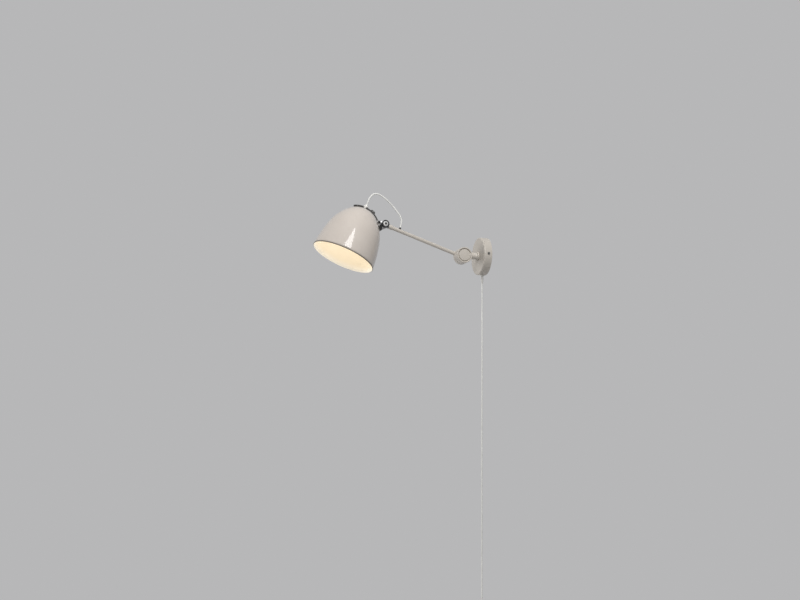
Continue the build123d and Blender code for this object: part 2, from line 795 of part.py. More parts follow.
cheek_inner = eye_width / 2 + washer_thickness + 2 * fit_gap
cheek_outer = cheek_inner + cheek_width
flange_seat = seat_gap + strap_thickness + fit_gap
flange_top = flange_seat + flange_thickness
with BuildPart() as head_fork:
    with BuildSketch(joint_section(flange_seat)):
        Circle(flange_radius)
    extrude(amount=flange_thickness)
    chamfer(head_fork.edges().filter_by(GeomType.CIRCLE), knob_edge_radius)
    with BuildSketch(joint_side(-cheek_outer)):
        Circle(head_joint_radius)
        Rectangle(
            2 * head_joint_radius,
            joint_stand_off - flange_top + knob_edge_radius,
            align=(Align.CENTER, Align.MAX),
        )
    extrude(amount=2 * cheek_outer)
    with BuildSketch(joint_side(-cheek_inner)):
        with Locations((0, -joint_stand_off + flange_top)):
            Rectangle(
                4 * head_joint_radius,
                4 * head_joint_radius,
                align=(Align.CENTER, Align.MIN),
            )
    extrude(amount=2 * cheek_inner, mode=Mode.SUBTRACT)
    with BuildSketch(joint_side(-2 * cheek_outer)):
        Circle(pin_radius + fit_gap)
    extrude(amount=4 * cheek_outer, mode=Mode.SUBTRACT)
    with BuildSketch(joint_section(0)):
        Circle(fork_screw_radius + fit_gap)
    extrude(amount=joint_stand_off, mode=Mode.SUBTRACT)
label_and_save("head_fork", head_fork)

knob_back = cheek_outer + fit_gap
nut_back = cheek_outer + fit_gap
with BuildPart() as tilt_knob:
    with BuildSketch(joint_side(knob_back)):
        Circle(knob_radius)
    extrude(amount=knob_rim_width)
    knob_edges = tilt_knob.edges().filter_by(GeomType.CIRCLE).sort_by(Axis.X)
    fillet(knob_edges[-1], knob_edge_radius)
    with BuildSketch(joint_side(knob_back + knob_rim_width)):
        Circle(knob_dome_radius + knob_groove)
        Circle(knob_dome_radius, mode=Mode.SUBTRACT)
    extrude(amount=-knob_groove, mode=Mode.SUBTRACT)
    with BuildSketch(joint_side(knob_back + knob_rim_width)):
        Circle(knob_dome_radius)
    extrude(amount=knob_dome_height)
    knob_edges = tilt_knob.edges().filter_by(GeomType.CIRCLE).sort_by(Axis.X)
    fillet(knob_edges[-1], knob_dome_height - fit_gap)
    with BuildSketch(joint_side(knob_back)):
        Circle(pin_radius)
    extrude(amount=-knob_back - nut_back - tilt_nut_thickness / 2)
label_and_save("tilt_knob", tilt_knob)

with BuildPart() as tilt_nut:
    with BuildSketch(joint_side(-nut_back)):
        Circle(tilt_nut_radius)
    extrude(amount=-tilt_nut_thickness)
    chamfer(tilt_nut.faces().sort_by(Axis.X)[0].edges(), tilt_nut_chamfer)
    with BuildSketch(joint_side(-nut_back)):
        Circle(pin_radius + fit_gap)
    extrude(amount=-tilt_nut_thickness / 2 - seat_gap, mode=Mode.SUBTRACT)
label_and_save("tilt_nut", tilt_nut)

with BuildPart() as tilt_washers:
    for inner_side in (cheek_inner - fit_gap, fit_gap + washer_thickness - cheek_inner):
        with BuildSketch(joint_side(inner_side)):
            Circle(washer_radius)
            Circle(pin_radius + fit_gap, mode=Mode.SUBTRACT)
        extrude(amount=-washer_thickness)
label_and_save("tilt_washers", tilt_washers)


def dome_arcs(outside):
    """The shade's arcs from the apex to the rim, moved outside by this much."""
    first = CenterArc((0, crown_height), crown_radius + outside, 90, -crown_angle)
    CenterArc(
        (shoulder_r, shoulder_s),
        shoulder_radius + outside,
        90 - crown_angle,
        -shoulder_angle,
    )
    last = TangentArc(
        (flank_top_r + outside * end_sin, flank_top_s + outside * end_cos),
        (shade_radius - outside * rim_tangent.Y, outside * rim_tangent.X),
        tangent=flank_tangent,
    )
    return first @ 0, last @ 1


crown_centre = (0, crown_height)
with BuildPart() as shade:
    with BuildSketch(shade_profile):
        with BuildLine():
            outer_top, outer_rim = dome_arcs(0)
            inner_top, inner_rim = dome_arcs(-shade_wall)
            Line(outer_top, inner_top)
            Line(outer_rim, inner_rim)
        make_face()
        with Locations((outer_rim + inner_rim) / 2):
            Circle(rim_bead_radius)
    revolve(axis=shade_axis)
    with BuildSketch(shade_section(crown_height)):
        Circle(nipple_radius + fit_gap)
    extrude(amount=2 * crown_radius, mode=Mode.SUBTRACT)
    with BuildSketch(spoke(0, crown_height, strap_nut_angle, 0)):
        Circle(strap_bolt_radius + fit_gap)
    extrude(amount=2 * crown_radius, mode=Mode.SUBTRACT)
    with BuildSketch(joint_section(-joint_stand_off)):
        Circle(fork_screw_radius + fit_gap)
    extrude(amount=2 * joint_stand_off, mode=Mode.SUBTRACT)
label_and_save("shade", shade)

# The strap is the part of a shell over the dome that lies inside its outline
strap_inside = seat_gap
strap_outside = seat_gap + strap_thickness
strap_end_angle = joint_angle + strap_edge_margin
pad_r = shoulder_r + shoulder_radius * joint_sin
with BuildPart() as shade_strap:
    with BuildSketch(shade_section(shade_depth / 2)):
        with Locations((0, strap_width / 2 - strap_back)):
            Circle(strap_width / 2)
        with Locations((0, strap_width / 2 - strap_back)):
            Rectangle(
                strap_width,
                strap_back - strap_width / 2 + pad_r,
                align=(Align.CENTER, Align.MIN),
            )
    extrude(amount=shade_depth)
    with BuildSketch(joint_section(-joint_stand_off)):
        Circle(flange_radius)
    extrude(amount=2 * joint_stand_off)
    with BuildSketch(shade_profile):
        with BuildLine():
            end_turn = 90 - strap_end_angle
            crown_end = 90 - crown_angle
            CenterArc(crown_centre, crown_radius + strap_inside, 90, -crown_angle)
            CenterArc(
                (shoulder_r, shoulder_s),
                shoulder_radius + strap_inside,
                crown_end,
                end_turn - crown_end,
            )
            CenterArc(crown_centre, crown_radius + strap_outside, 90, -crown_angle)
            CenterArc(
                (shoulder_r, shoulder_s),
                shoulder_radius + strap_outside,
                crown_end,
                end_turn - crown_end,
            )
            Line(
                (0, shade_depth + strap_inside),
                (0, shade_depth + strap_outside),
            )
            Line(
                polar((shoulder_r, shoulder_s), shoulder_radius + strap_inside, end_turn),
                polar((shoulder_r, shoulder_s), shoulder_radius + strap_outside, end_turn),
            )
        make_face()
    revolve(axis=shade_axis, mode=Mode.INTERSECT)
    with BuildSketch(shade_section(crown_height)):
        Circle(nipple_radius + fit_gap)
    extrude(amount=2 * crown_radius, mode=Mode.SUBTRACT)
    with BuildSketch(spoke(0, crown_height, strap_nut_angle, 0)):
        Circle(strap_bolt_radius + fit_gap)
    extrude(amount=2 * crown_radius, mode=Mode.SUBTRACT)
    with BuildSketch(joint_section(-joint_stand_off)):
        Circle(fork_screw_radius + fit_gap)
    extrude(amount=2 * joint_stand_off, mode=Mode.SUBTRACT)
label_and_save("shade_strap", shade_strap)

# A flat washer face on the round strap stands off by the strap's rise under it
strap_top = crown_radius + strap_outside
nut_seat = strap_top + seat_gap
with BuildPart() as strap_nut:
    with BuildSketch(spoke(0, crown_height, strap_nut_angle, nut_seat)):
        Circle(strap_nut_radius)
    extrude(amount=strap_nut_height)
    with BuildSketch(spoke(0, crown_height, strap_nut_angle, nut_seat + strap_nut_height)):
        Circle(strap_nut_radius - knob_edge_radius)
    extrude(amount=strap_nut_dome)
    nut_top = strap_nut.faces().sort_by(shade_axis)[-1]
    fillet(nut_top.edges(), strap_nut_dome - fit_gap)
    with BuildSketch(spoke(0, crown_height, strap_nut_angle, nut_seat)):
        Circle(strap_bolt_radius + fit_gap)
    extrude(amount=strap_nut_height, mode=Mode.SUBTRACT)
label_and_save("strap_nut", strap_nut)

bolt_head_rise = strap_bolt_head_radius**2 / (2 * crown_radius)
bolt_seat = crown_radius - shade_wall - bolt_head_rise - fit_gap
with BuildPart() as strap_bolt:
    with BuildSketch(spoke(0, crown_height, strap_nut_angle, bolt_seat)):
        Circle(strap_bolt_head_radius)
    extrude(amount=-strap_bolt_head_height)
    with BuildSketch(spoke(0, crown_height, strap_nut_angle, bolt_seat)):
        Circle(strap_bolt_radius)
    extrude(amount=nut_seat - bolt_seat + strap_nut_height - seat_gap)
label_and_save("strap_bolt", strap_bolt)

screw_head_rise = fork_screw_head_radius**2 / (2 * shoulder_radius)
screw_seat = -shade_wall - screw_head_rise - 2 * fit_gap
with BuildPart() as fork_screw:
    with BuildSketch(joint_section(screw_seat)):
        Circle(fork_screw_head_radius)
    extrude(amount=-fork_screw_head_height)
    fillet(fork_screw.faces().sort_by(shade_axis)[0].edges(), knob_edge_radius)
    with BuildSketch(joint_section(screw_seat)):
        Circle(fork_screw_radius)
    extrude(amount=flange_top - screw_seat - seat_gap)
label_and_save("fork_screw", fork_screw)

# Cord grip, hollow stud and lampholder, on the shade's axis

grip_seat = shade_depth + strap_outside + fit_gap
grip_top = grip_seat + grip_length
with BuildPart() as cord_grip:
    with BuildSketch(shade_section(grip_seat)):
        Circle(grip_radius)
    extrude(amount=grip_length)
    chamfer(cord_grip.faces().sort_by(shade_axis)[-1].edges(), grip_chamfer)
    with BuildSketch(shade_section(grip_seat)):
        Circle(nipple_radius + fit_gap)
    extrude(amount=nipple_above_strap, mode=Mode.SUBTRACT)
    with BuildSketch(shade_section(grip_seat)):
        Circle(cord_radius + gland_bore_gap)
    extrude(amount=2 * grip_length, mode=Mode.SUBTRACT)
label_and_save("cord_grip", cord_grip)

crown_inside = shade_depth - shade_wall
nipple_foot = crown_inside - nipple_below_crown
with BuildPart() as shade_nipple:
    with BuildSketch(shade_section(nipple_foot)):
        Circle(nipple_radius)
        Circle(nipple_bore_radius, mode=Mode.SUBTRACT)
    extrude(amount=grip_seat + nipple_above_strap - fit_gap - nipple_foot)
label_and_save("shade_nipple", shade_nipple)

lock_nut_corner = lock_nut_flats / math.sqrt(3)
lock_nut_rise = lock_nut_corner**2 / (2 * (crown_radius - shade_wall))
lock_nut_top = crown_inside - lock_nut_rise - 2 * fit_gap
with BuildPart() as shade_lock_nut:
    with BuildSketch(shade_section(lock_nut_top)):
        RegularPolygon(lock_nut_flats / 2, side_count=6, major_radius=False)
        Circle(nipple_radius + fit_gap, mode=Mode.SUBTRACT)
    extrude(amount=-lock_nut_thickness)
label_and_save("shade_lock_nut", shade_lock_nut)

holder_top = lock_nut_top - lock_nut_thickness - fit_gap
cap_mouth = holder_top - holder_cap_height
holder_inner = holder_radius - holder_wall
with BuildPart() as holder_cap:
    with BuildSketch(shade_profile):
        with BuildLine():
            Polyline(
                (nipple_radius + fit_gap, holder_top),
                (holder_neck_radius, holder_top),
                (holder_radius, holder_top - holder_cone_height),
                (holder_radius, cap_mouth),
                (holder_inner, cap_mouth),
                (holder_inner, holder_top - holder_cone_height),
                (holder_neck_radius, holder_top - holder_cap_roof),
                (nipple_radius + fit_gap, holder_top - holder_cap_roof),
                close=True,
            )
        make_face()
    revolve(axis=shade_axis)
label_and_save("holder_cap", holder_cap)

body_top = cap_mouth - fit_gap
holder_mouth = body_top - holder_body_height
with BuildPart() as holder_body:
    with BuildSketch(shade_section(holder_mouth)):
        Circle(holder_radius)
        Circle(holder_inner, mode=Mode.SUBTRACT)
    extrude(amount=holder_body_height)
label_and_save("holder_body", holder_body)

insert_bottom = body_top - insert_thickness
with BuildPart() as holder_insert:
    with BuildSketch(shade_section(insert_bottom)):
        Circle(holder_inner - fit_gap)
    extrude(amount=insert_thickness)
label_and_save("holder_insert", holder_insert)

with BuildPart() as holder_ring:
    with BuildSketch(shade_section(holder_mouth + holder_ring_from_mouth)):
        Circle(holder_ring_radius)
        Circle(holder_radius + fit_gap, mode=Mode.SUBTRACT)
    extrude(amount=holder_ring_height)
    chamfer(holder_ring.faces().sort_by(shade_axis)[0].edges(), knob_edge_radius)
label_and_save("holder_ring", holder_ring)

shell_top = insert_bottom - fit_gap
with BuildPart() as holder_shell:
    with BuildSketch(shade_section(shell_top)):
        Circle(shell_radius)
        Circle(shell_radius - shell_wall, mode=Mode.SUBTRACT)
    extrude(amount=-shell_length)
label_and_save("holder_shell", holder_shell)

with BuildPart() as holder_contact:
    with BuildSketch(shade_section(shell_top)):
        Circle(contact_radius)
    extrude(amount=-contact_thickness)
label_and_save("holder_contact", holder_contact)

# Bulb: its centre contact meets the holder's contact

bulb_top = shell_top - contact_thickness - fit_gap
cap_top = bulb_top - bulb_insulator_height
cap_bottom = cap_top - bulb_cap_length
glass_centre = bulb_top - bulb_length + bulb_radius
glass_top = cap_bottom - fit_gap
with BuildPart() as bulb_contact:
    with BuildSketch(shade_section(cap_top + fit_gap)):
        Circle(bulb_cap_radius - bulb_cap_wall)
    with BuildSketch(shade_section(bulb_top)):
        Circle(bulb_contact_radius)
    loft()
label_and_save("bulb_contact", bulb_contact)

with BuildPart() as bulb_cap:
    with BuildSketch(shade_section(cap_bottom)):
        Circle(bulb_cap_radius)
    extrude(amount=bulb_cap_length)
    with BuildSketch(shade_section(cap_bottom)):
        Circle(bulb_cap_radius - bulb_cap_wall)
    extrude(amount=bulb_cap_length - bulb_cap_wall, mode=Mode.SUBTRACT)
label_and_save("bulb_cap", bulb_cap)

# The globe meets a straight neck at this angle above its widest line
neck_turn = math.degrees(math.acos(bulb_neck_radius / bulb_radius))
with BuildPart() as bulb_glass:
    with BuildSketch(shade_profile):
        with BuildLine():
            globe = CenterArc((0, glass_centre), bulb_radius, -90, 90 + neck_turn)
            inside = CenterArc(
                (0, glass_centre), bulb_radius - bulb_glass_wall, -90, 90 + neck_turn
            )
            Polyline(
                globe @ 1,
                (bulb_neck_radius, glass_top),
                (bulb_neck_radius - bulb_glass_wall, glass_top),
                inside @ 1,
            )
            Line(globe @ 0, inside @ 0)
        make_face()
    revolve(axis=shade_axis)
label_and_save("bulb_glass", bulb_glass)

# Cords


def bend_radii(points):
    """Radius at each corner: 0.45 of the shorter run over the tangent of half the turn."""
    run_share = 0.45
    radii = []
    for before, corner, after in zip(points, points[1:], points[2:]):
        run_in = Vector(corner) - Vector(before)
        run_out = Vector(after) - Vector(corner)
        half_turn = math.radians(run_in.get_angle(run_out) / 2)
        shorter = min(run_in.length, run_out.length)
        radii.append(run_share * shorter / math.tan(half_turn))
    return radii


def report_tube(name, piece, path_length):
    """Print a cord's volume beside its section times its length."""
    expected = math.pi * cord_radius**2 * path_length
    print(f"{name}: length {path_length:.1f}, volume {piece.part.volume:.1f}, expected {expected:.1f}")


# The loop leaves the grip along the shade's axis and enters the grommet square to the arm
grip_mouth = shade_section(grip_top - grip_chamfer).origin
loop_first = shade_section(grip_top + loop_start_run).origin
loop_exit = grommet_plane.offset(grommet_top + loop_end_run).origin
loop_last = grommet_plane.offset(cord_radius - arm_cable_drop + seat_gap).origin
loop_points = [tuple(grip_mouth), tuple(loop_first)]
loop_points += [(arm_x, y, z) for y, z in loop_top_points]
loop_points += [tuple(loop_exit), tuple(loop_last)]
loop_radii = bend_radii(loop_points)
print("loop cord radii", [round(radius, 1) for radius in loop_radii])
with BuildPart() as loop_cord:
    with BuildLine() as loop_path:
        FilletPolyline(*loop_points, radius=loop_radii)
    with BuildSketch(Plane(origin=loop_path.line @ 0, z_dir=loop_path.line % 0)):
        Circle(cord_radius)
    sweep(path=loop_path.line)
report_tube("loop_cord", loop_cord, loop_path.wire().length)
label_and_save("loop_cord", loop_cord)

supply_top = -clamp_centre_drop + clamp_height / 2 + seat_gap
supply_bottom = gland_mouth - supply_run
with BuildPart() as supply_cord:
    with BuildSketch(Plane.XY.offset(supply_bottom)):
        with Locations((0, -side_depth)):
            Circle(cord_radius)
    extrude(amount=supply_top - supply_bottom)
report_tube("supply_cord", supply_cord, supply_top - supply_bottom)
label_and_save("supply_cord", supply_cord)

# In-line switch: the base faces the wall and the cover carries the rocker

switch_top = supply_bottom + switch_mouth_length
switch_centre = switch_top - switch_length / 2
switch_bottom = switch_top - switch_length
switch_back = side_depth - switch_depth / 2
parting_depth = switch_back + switch_parting
switch_front = switch_back + switch_depth
mouth_radius = cord_radius + fit_gap
with BuildPart() as switch_base:
    with BuildSketch(front(switch_back)):
        with Locations((0, switch_centre)):
            RectangleRounded(switch_width, switch_length, switch_corner_radius)
    extrude(amount=switch_parting)
    chamfer(switch_base.faces().sort_by(Axis.Y)[-1].edges(), switch_edge_radius)
    with BuildSketch(front(switch_back + switch_wall)):
        with Locations((0, switch_centre)):
            Rectangle(
                switch_width - 2 * switch_wall,
                switch_length - 2 * switch_mouth_length,
            )
    extrude(amount=switch_parting, mode=Mode.SUBTRACT)
    with BuildSketch(Plane.XY.offset(switch_bottom)):
        with Locations((0, -side_depth)):
            Circle(mouth_radius)
    extrude(amount=switch_length, mode=Mode.SUBTRACT)
    with BuildSketch(front(switch_back)):
        with Locations((0, switch_centre)):
            with GridLocations(0, switch_screw_spacing, 1, 2):
                Circle(switch_boss_radius)
    extrude(amount=switch_parting)
    with BuildSketch(front(switch_back)):
        with Locations((0, switch_centre)):
            with GridLocations(0, switch_screw_spacing, 1, 2):
                Circle(switch_screw_radius + fit_gap)
    extrude(amount=switch_depth, mode=Mode.SUBTRACT)
    with BuildSketch(front(switch_back)):
        with Locations((0, switch_centre)):
            with GridLocations(0, switch_screw_spacing, 1, 2):
                Circle(switch_screw_head_radius + fit_gap)
    extrude(amount=switch_screw_head_height + fit_gap, mode=Mode.SUBTRACT)
label_and_save("switch_base", switch_base)

pivot_depth = switch_front - rocker_pivot_depth
with BuildPart() as switch_cover:
    with BuildSketch(front(parting_depth)):
        with Locations((0, switch_centre)):
            RectangleRounded(switch_width, switch_length, switch_corner_radius)
    extrude(amount=switch_front - parting_depth)
    fillet(switch_cover.faces().sort_by(Axis.Y)[0].edges(), switch_edge_radius)
    with BuildSketch(front(parting_depth)):
        with Locations((0, switch_centre)):
            Rectangle(
                switch_width - 2 * switch_wall,
                switch_length - 2 * switch_mouth_length,
            )
    extrude(amount=switch_front - parting_depth - switch_wall, mode=Mode.SUBTRACT)
    with BuildSketch(Plane.XY.offset(switch_bottom)):
        with Locations((0, -side_depth)):
            Circle(mouth_radius)
    extrude(amount=switch_length, mode=Mode.SUBTRACT)
    with BuildSketch(front(parting_depth)):
        with Locations((0, switch_centre)):
            with GridLocations(0, switch_screw_spacing, 1, 2):
                Circle(switch_boss_radius)
    extrude(amount=switch_front - parting_depth - switch_wall)
    with BuildSketch(front(parting_depth)):
        with Locations((0, switch_centre)):
            with GridLocations(0, switch_screw_spacing, 1, 2):
                Circle(switch_screw_radius + fit_gap)
    extrude(amount=switch_front - parting_depth - switch_wall, mode=Mode.SUBTRACT)
    with BuildSketch(front(pivot_depth - bearing_tail)):
        with Locations((0, switch_centre)):
            with GridLocations(rocker_width + 2 * rocker_gap + bearing_width, 0, 2, 1):
                Rectangle(bearing_width, 2 * bearing_half_length)
    extrude(amount=rocker_pivot_depth + bearing_tail - switch_wall)
    with BuildSketch(front(parting_depth)):
        with Locations((0, switch_centre)):
            Rectangle(rocker_width + 2 * rocker_gap, rocker_length + 2 * rocker_gap)
    extrude(amount=switch_depth, mode=Mode.SUBTRACT)
    with BuildSketch(Plane.YZ):
        with Locations((-pivot_depth, switch_centre)):
            Circle(rocker_pin_radius + fit_gap)
    extrude(
        amount=rocker_width / 2 + rocker_pin_length + 2 * fit_gap,
        both=True,
        mode=Mode.SUBTRACT,
    )
label_and_save("switch_cover", switch_cover)

# At rest the switch is on: the rocker's top end is pressed in
rocker_turn = math.radians(rocker_tilt)
rocker_plane = Plane(
    origin=(0, -pivot_depth, switch_centre),
    x_dir=(0, -math.cos(rocker_turn), math.sin(rocker_turn)),
    z_dir=(-1, 0, 0),
)
rocker_half = rocker_length / 2
rocker_rise = rocker_half * math.tan(rocker_turn)
rocker_top = rocker_pivot_depth + rocker_proud
with BuildPart() as switch_rocker:
    with BuildSketch(rocker_plane):
        with BuildLine():
            Polyline(
                (-rocker_underside, -rocker_half),
                (rocker_top + rocker_rise, rocker_end_taper - rocker_half),
                (rocker_top, 0),
                (rocker_top + rocker_rise, rocker_half - rocker_end_taper),
                (-rocker_underside, rocker_half),
                close=True,
            )
        make_face()
    extrude(amount=rocker_width / 2, both=True)
    with BuildSketch(rocker_plane):
        Circle(rocker_pin_radius)
    extrude(amount=rocker_width / 2 + rocker_pin_length, both=True)
label_and_save("switch_rocker", switch_rocker)

switch_screw_start = switch_back + fit_gap
with BuildPart() as switch_screws:
    with BuildSketch(front(switch_screw_start)):
        with Locations((0, switch_centre)):
            with GridLocations(0, switch_screw_spacing, 1, 2):
                Circle(switch_screw_head_radius)
    extrude(amount=switch_screw_head_height)
    with BuildSketch(front(switch_screw_start)):
        with Locations((0, switch_centre)):
            with GridLocations(0, switch_screw_spacing, 1, 2):
                Circle(switch_screw_radius)
    extrude(amount=switch_depth - 2 * switch_wall)
    with BuildSketch(front(switch_screw_start)):
        with Locations((0, switch_centre)):
            with GridLocations(0, switch_screw_spacing, 1, 2):
                Rectangle(2 * switch_screw_head_radius, slot_width)
    extrude(amount=slot_depth, mode=Mode.SUBTRACT)
label_and_save("switch_screws", switch_screws)

contact_seat = switch_back + switch_wall
with BuildPart() as switch_contacts:
    with BuildSketch(front(contact_seat)):
        with Locations((0, switch_centre)):
            with GridLocations(switch_contact_spacing, 0, 2, 1):
                Rectangle(switch_contact_width, switch_contact_length)
    extrude(amount=switch_contact_height / 2)
    with BuildSketch(front(contact_seat)):
        with Locations((0, switch_centre)):
            with GridLocations(switch_contact_spacing, 0, 2, 1):
                Rectangle(switch_contact_width, switch_contact_step)
    extrude(amount=switch_contact_height)
label_and_save("switch_contacts", switch_contacts)

# Coil of the spare cord: half turns that shrink, climb to a second layer, then grow

coil_centre = switch_bottom - coil_below_switch
coil_start = switch_bottom + switch_mouth_length
layer_pitch = 2 * cord_radius + coil_layer_gap
half_turn_radii = [coil_radius - turn * coil_pitch / 2 for turn in range(coil_half_turns + 1)]
half_turn_radii += half_turn_radii[-2:0:-1]
coil_points = [(0, -side_depth, coil_centre)]
coil_crests = []
for turn, radius in enumerate(half_turn_radii):
    x, y, z = coil_points[-1]
    down = turn % 2 == 0
    climb = layer_pitch if turn == coil_half_turns else 0
    reach = -2 * radius if down else 2 * radius
    tilted_radius = math.hypot(radius, climb / 2)
    crest = coil_centre - tilted_radius if down else coil_centre + tilted_radius
    coil_crests.append((x + reach / 2, y - climb / 2, crest))
    coil_points.append((x + reach, y - climb, z))
coil_end_x, coil_end_y, _ = coil_points[-1]
coil_end = (coil_end_x, coil_end_y, coil_centre - coil_lead_out - plug_cord_depth)
with BuildPart() as cord_coil:
    with BuildLine() as coil_path:
        Line((0, -side_depth, coil_start), coil_points[0])
        for start, crest, end in zip(coil_points, coil_crests, coil_points[1:]):
            ThreePointArc(start, crest, end)
        Line(coil_points[-1], coil_end)
    with BuildSketch(Plane.XY.offset(coil_start)):
        with Locations((0, -side_depth)):
            Circle(cord_radius)
    sweep(path=coil_path.line)
report_tube("cord_coil", cord_coil, coil_path.wire().length)
label_and_save("cord_coil", cord_coil)


def least_gap(path, radius, samples_per_turn):
    """Least distance between turns of a tube, measured on points along its centreline."""
    edges = path.edges()
    points = [edge @ (step / samples_per_turn) for edge in edges for step in range(samples_per_turn)]
    steps = [0.0]
    for before, after in zip(points, points[1:]):
        steps.append(steps[-1] + (after - before).length)
    least = math.inf
    for first, start in enumerate(points):
        for second in range(first + 1, len(points)):
            if steps[second] - steps[first] > math.pi * radius * 2:
                least = min(least, (points[second] - start).length)
    return least - 2 * radius


print(f"coil least gap to itself {least_gap(coil_path.wire(), cord_radius, 24):.2f}")

# The tie wraps the turns on the coil's left side
left_points = [point for point in coil_points if point[0] < -coil_radius]
left_x = [point[0] for point in left_points]
left_y = [point[1] for point in left_points]
tie_sag = tie_width**2 / (8 * half_turn_radii[coil_half_turns - 1])
tie_left = min(left_x) - cord_radius - tie_gap
tie_right = max(left_x) + cord_radius + tie_gap + tie_sag
tie_front = min(left_y) - cord_radius - tie_gap
tie_rear = max(left_y) + cord_radius + tie_gap
with BuildPart() as coil_tie:
    with BuildSketch(Plane.XY.offset(coil_centre - tie_width / 2)):
        with Locations(((tie_left + tie_right) / 2, (tie_front + tie_rear) / 2)):
            RectangleRounded(
                tie_right - tie_left + 2 * tie_wall,
                tie_rear - tie_front + 2 * tie_wall,
                cord_radius,
            )
            RectangleRounded(
                tie_right - tie_left,
                tie_rear - tie_front,
                cord_radius - tie_wall,
                mode=Mode.SUBTRACT,
            )
    extrude(amount=tie_width)
label_and_save("coil_tie", coil_tie)

# Plug below the coil

plug_top = coil_centre - coil_lead_out
plug_shoulder = plug_top - plug_nose_length
plug_face = plug_shoulder - plug_body_length
plug_depth = -coil_end_y
with BuildPart() as plug_body:
    with BuildSketch(front(plug_depth - plug_height / 2)):
        with Locations((coil_end_x, 0)):
            with BuildLine():
                Polyline(
                    (-plug_shoulder_width / 2, plug_shoulder),
                    (plug_shoulder_width / 2, plug_shoulder),
                    (plug_width / 2, plug_shoulder - plug_body_length / 3),
                    (plug_width / 2, plug_face),
                    (-plug_width / 2, plug_face),
                    (-plug_width / 2, plug_shoulder - plug_body_length / 3),
                    close=True,
                )
            make_face()
    extrude(amount=plug_height)
    fillet(plug_body.edges(), plug_edge_radius)
    with BuildSketch(Plane.XY.offset(plug_shoulder - plug_edge_radius)):
        with Locations((coil_end_x, coil_end_y)):
            Circle(plug_nose_radius)
    with BuildSketch(Plane.XY.offset(plug_top)):
        with Locations((coil_end_x, coil_end_y)):
            Circle(plug_nose_tip_radius)
    loft()
    with BuildSketch(Plane.XY.offset(plug_top)):
        with Locations((coil_end_x, coil_end_y)):
            Circle(cord_radius + fit_gap)
    extrude(amount=-plug_cord_depth, mode=Mode.SUBTRACT)
    with BuildSketch(Plane.XY.offset(plug_face)):
        with Locations((coil_end_x, coil_end_y)):
            with GridLocations(pin_spacing, 0, 2, 1):
                Circle(plug_pin_radius + fit_gap)
    extrude(amount=pin_seat_depth, mode=Mode.SUBTRACT)
label_and_save("plug_body", plug_body)

with BuildPart() as plug_pins:
    with BuildSketch(Plane.XY.offset(plug_face + pin_seat_depth)):
        with Locations((coil_end_x, coil_end_y)):
            with GridLocations(pin_spacing, 0, 2, 1):
                Circle(plug_pin_radius)
    extrude(amount=-pin_seat_depth - plug_pin_length)
    tips = plug_pins.edges().filter_by(GeomType.CIRCLE).group_by(Axis.Z)[0]
    fillet(tips, plug_pin_radius / 2)
label_and_save("plug_pins", plug_pins)
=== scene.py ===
import json
import math
import bpy
import bmesh
from mathutils import Matrix, Vector


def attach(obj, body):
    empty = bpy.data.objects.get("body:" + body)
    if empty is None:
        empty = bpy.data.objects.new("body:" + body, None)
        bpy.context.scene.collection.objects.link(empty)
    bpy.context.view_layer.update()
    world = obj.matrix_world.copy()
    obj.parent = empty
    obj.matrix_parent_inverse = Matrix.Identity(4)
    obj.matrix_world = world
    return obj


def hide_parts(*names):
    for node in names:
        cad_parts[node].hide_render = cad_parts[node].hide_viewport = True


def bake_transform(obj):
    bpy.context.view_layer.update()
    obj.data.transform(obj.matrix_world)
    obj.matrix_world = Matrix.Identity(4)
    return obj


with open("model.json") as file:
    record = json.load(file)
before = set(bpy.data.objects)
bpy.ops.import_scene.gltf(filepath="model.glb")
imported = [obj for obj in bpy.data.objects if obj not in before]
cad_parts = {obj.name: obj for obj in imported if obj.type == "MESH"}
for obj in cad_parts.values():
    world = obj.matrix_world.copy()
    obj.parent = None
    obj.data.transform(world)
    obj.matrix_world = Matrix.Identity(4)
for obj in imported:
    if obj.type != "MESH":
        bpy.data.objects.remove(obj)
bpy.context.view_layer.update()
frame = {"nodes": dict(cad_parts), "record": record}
nodes = frame["nodes"]
mm = 0.001
weldDistance = 2e-6  # metres, as the next
cutTolerance = 1e-6
spinSteps = {"large": 128, "medium": 96, "small": 64, "tiny": 48, "pin": 32}  # faces round a piece

# sizes and places that several pieces share, in millimetres and degrees
lamp = {
    "elbowY": -62.0,
    "armX": -16.85,
    "armLength": 228.0,
    "armAngle": 18.0,
    "shadeLean": 23.8,
    "jointAngle": 49.7,
    "jointStandOff": 20.5,
    "crownRadius": 58.0,
    "crownAngle": 44.0,
    "shoulderRadius": 120.0,
    "shoulderAngle": 31.0,
    "shadeRadius": 84.0,
    "shadeDepth": 142.5,
    "cordRadius": 2.0,
    "cordY": -10.0,
}


def cosDeg(angle):
    return math.cos(math.radians(angle))


def sinDeg(angle):
    return math.sin(math.radians(angle))


def axes(origin, xDir, zDir):  # a turned piece's own frame, origin in millimetres
    z = Vector(zDir).normalized()
    x = Vector(xDir).normalized()
    y = z.cross(x)
    place = Matrix((x, y, z)).transposed().to_4x4()
    place.translation = Vector(origin) * mm
    return place


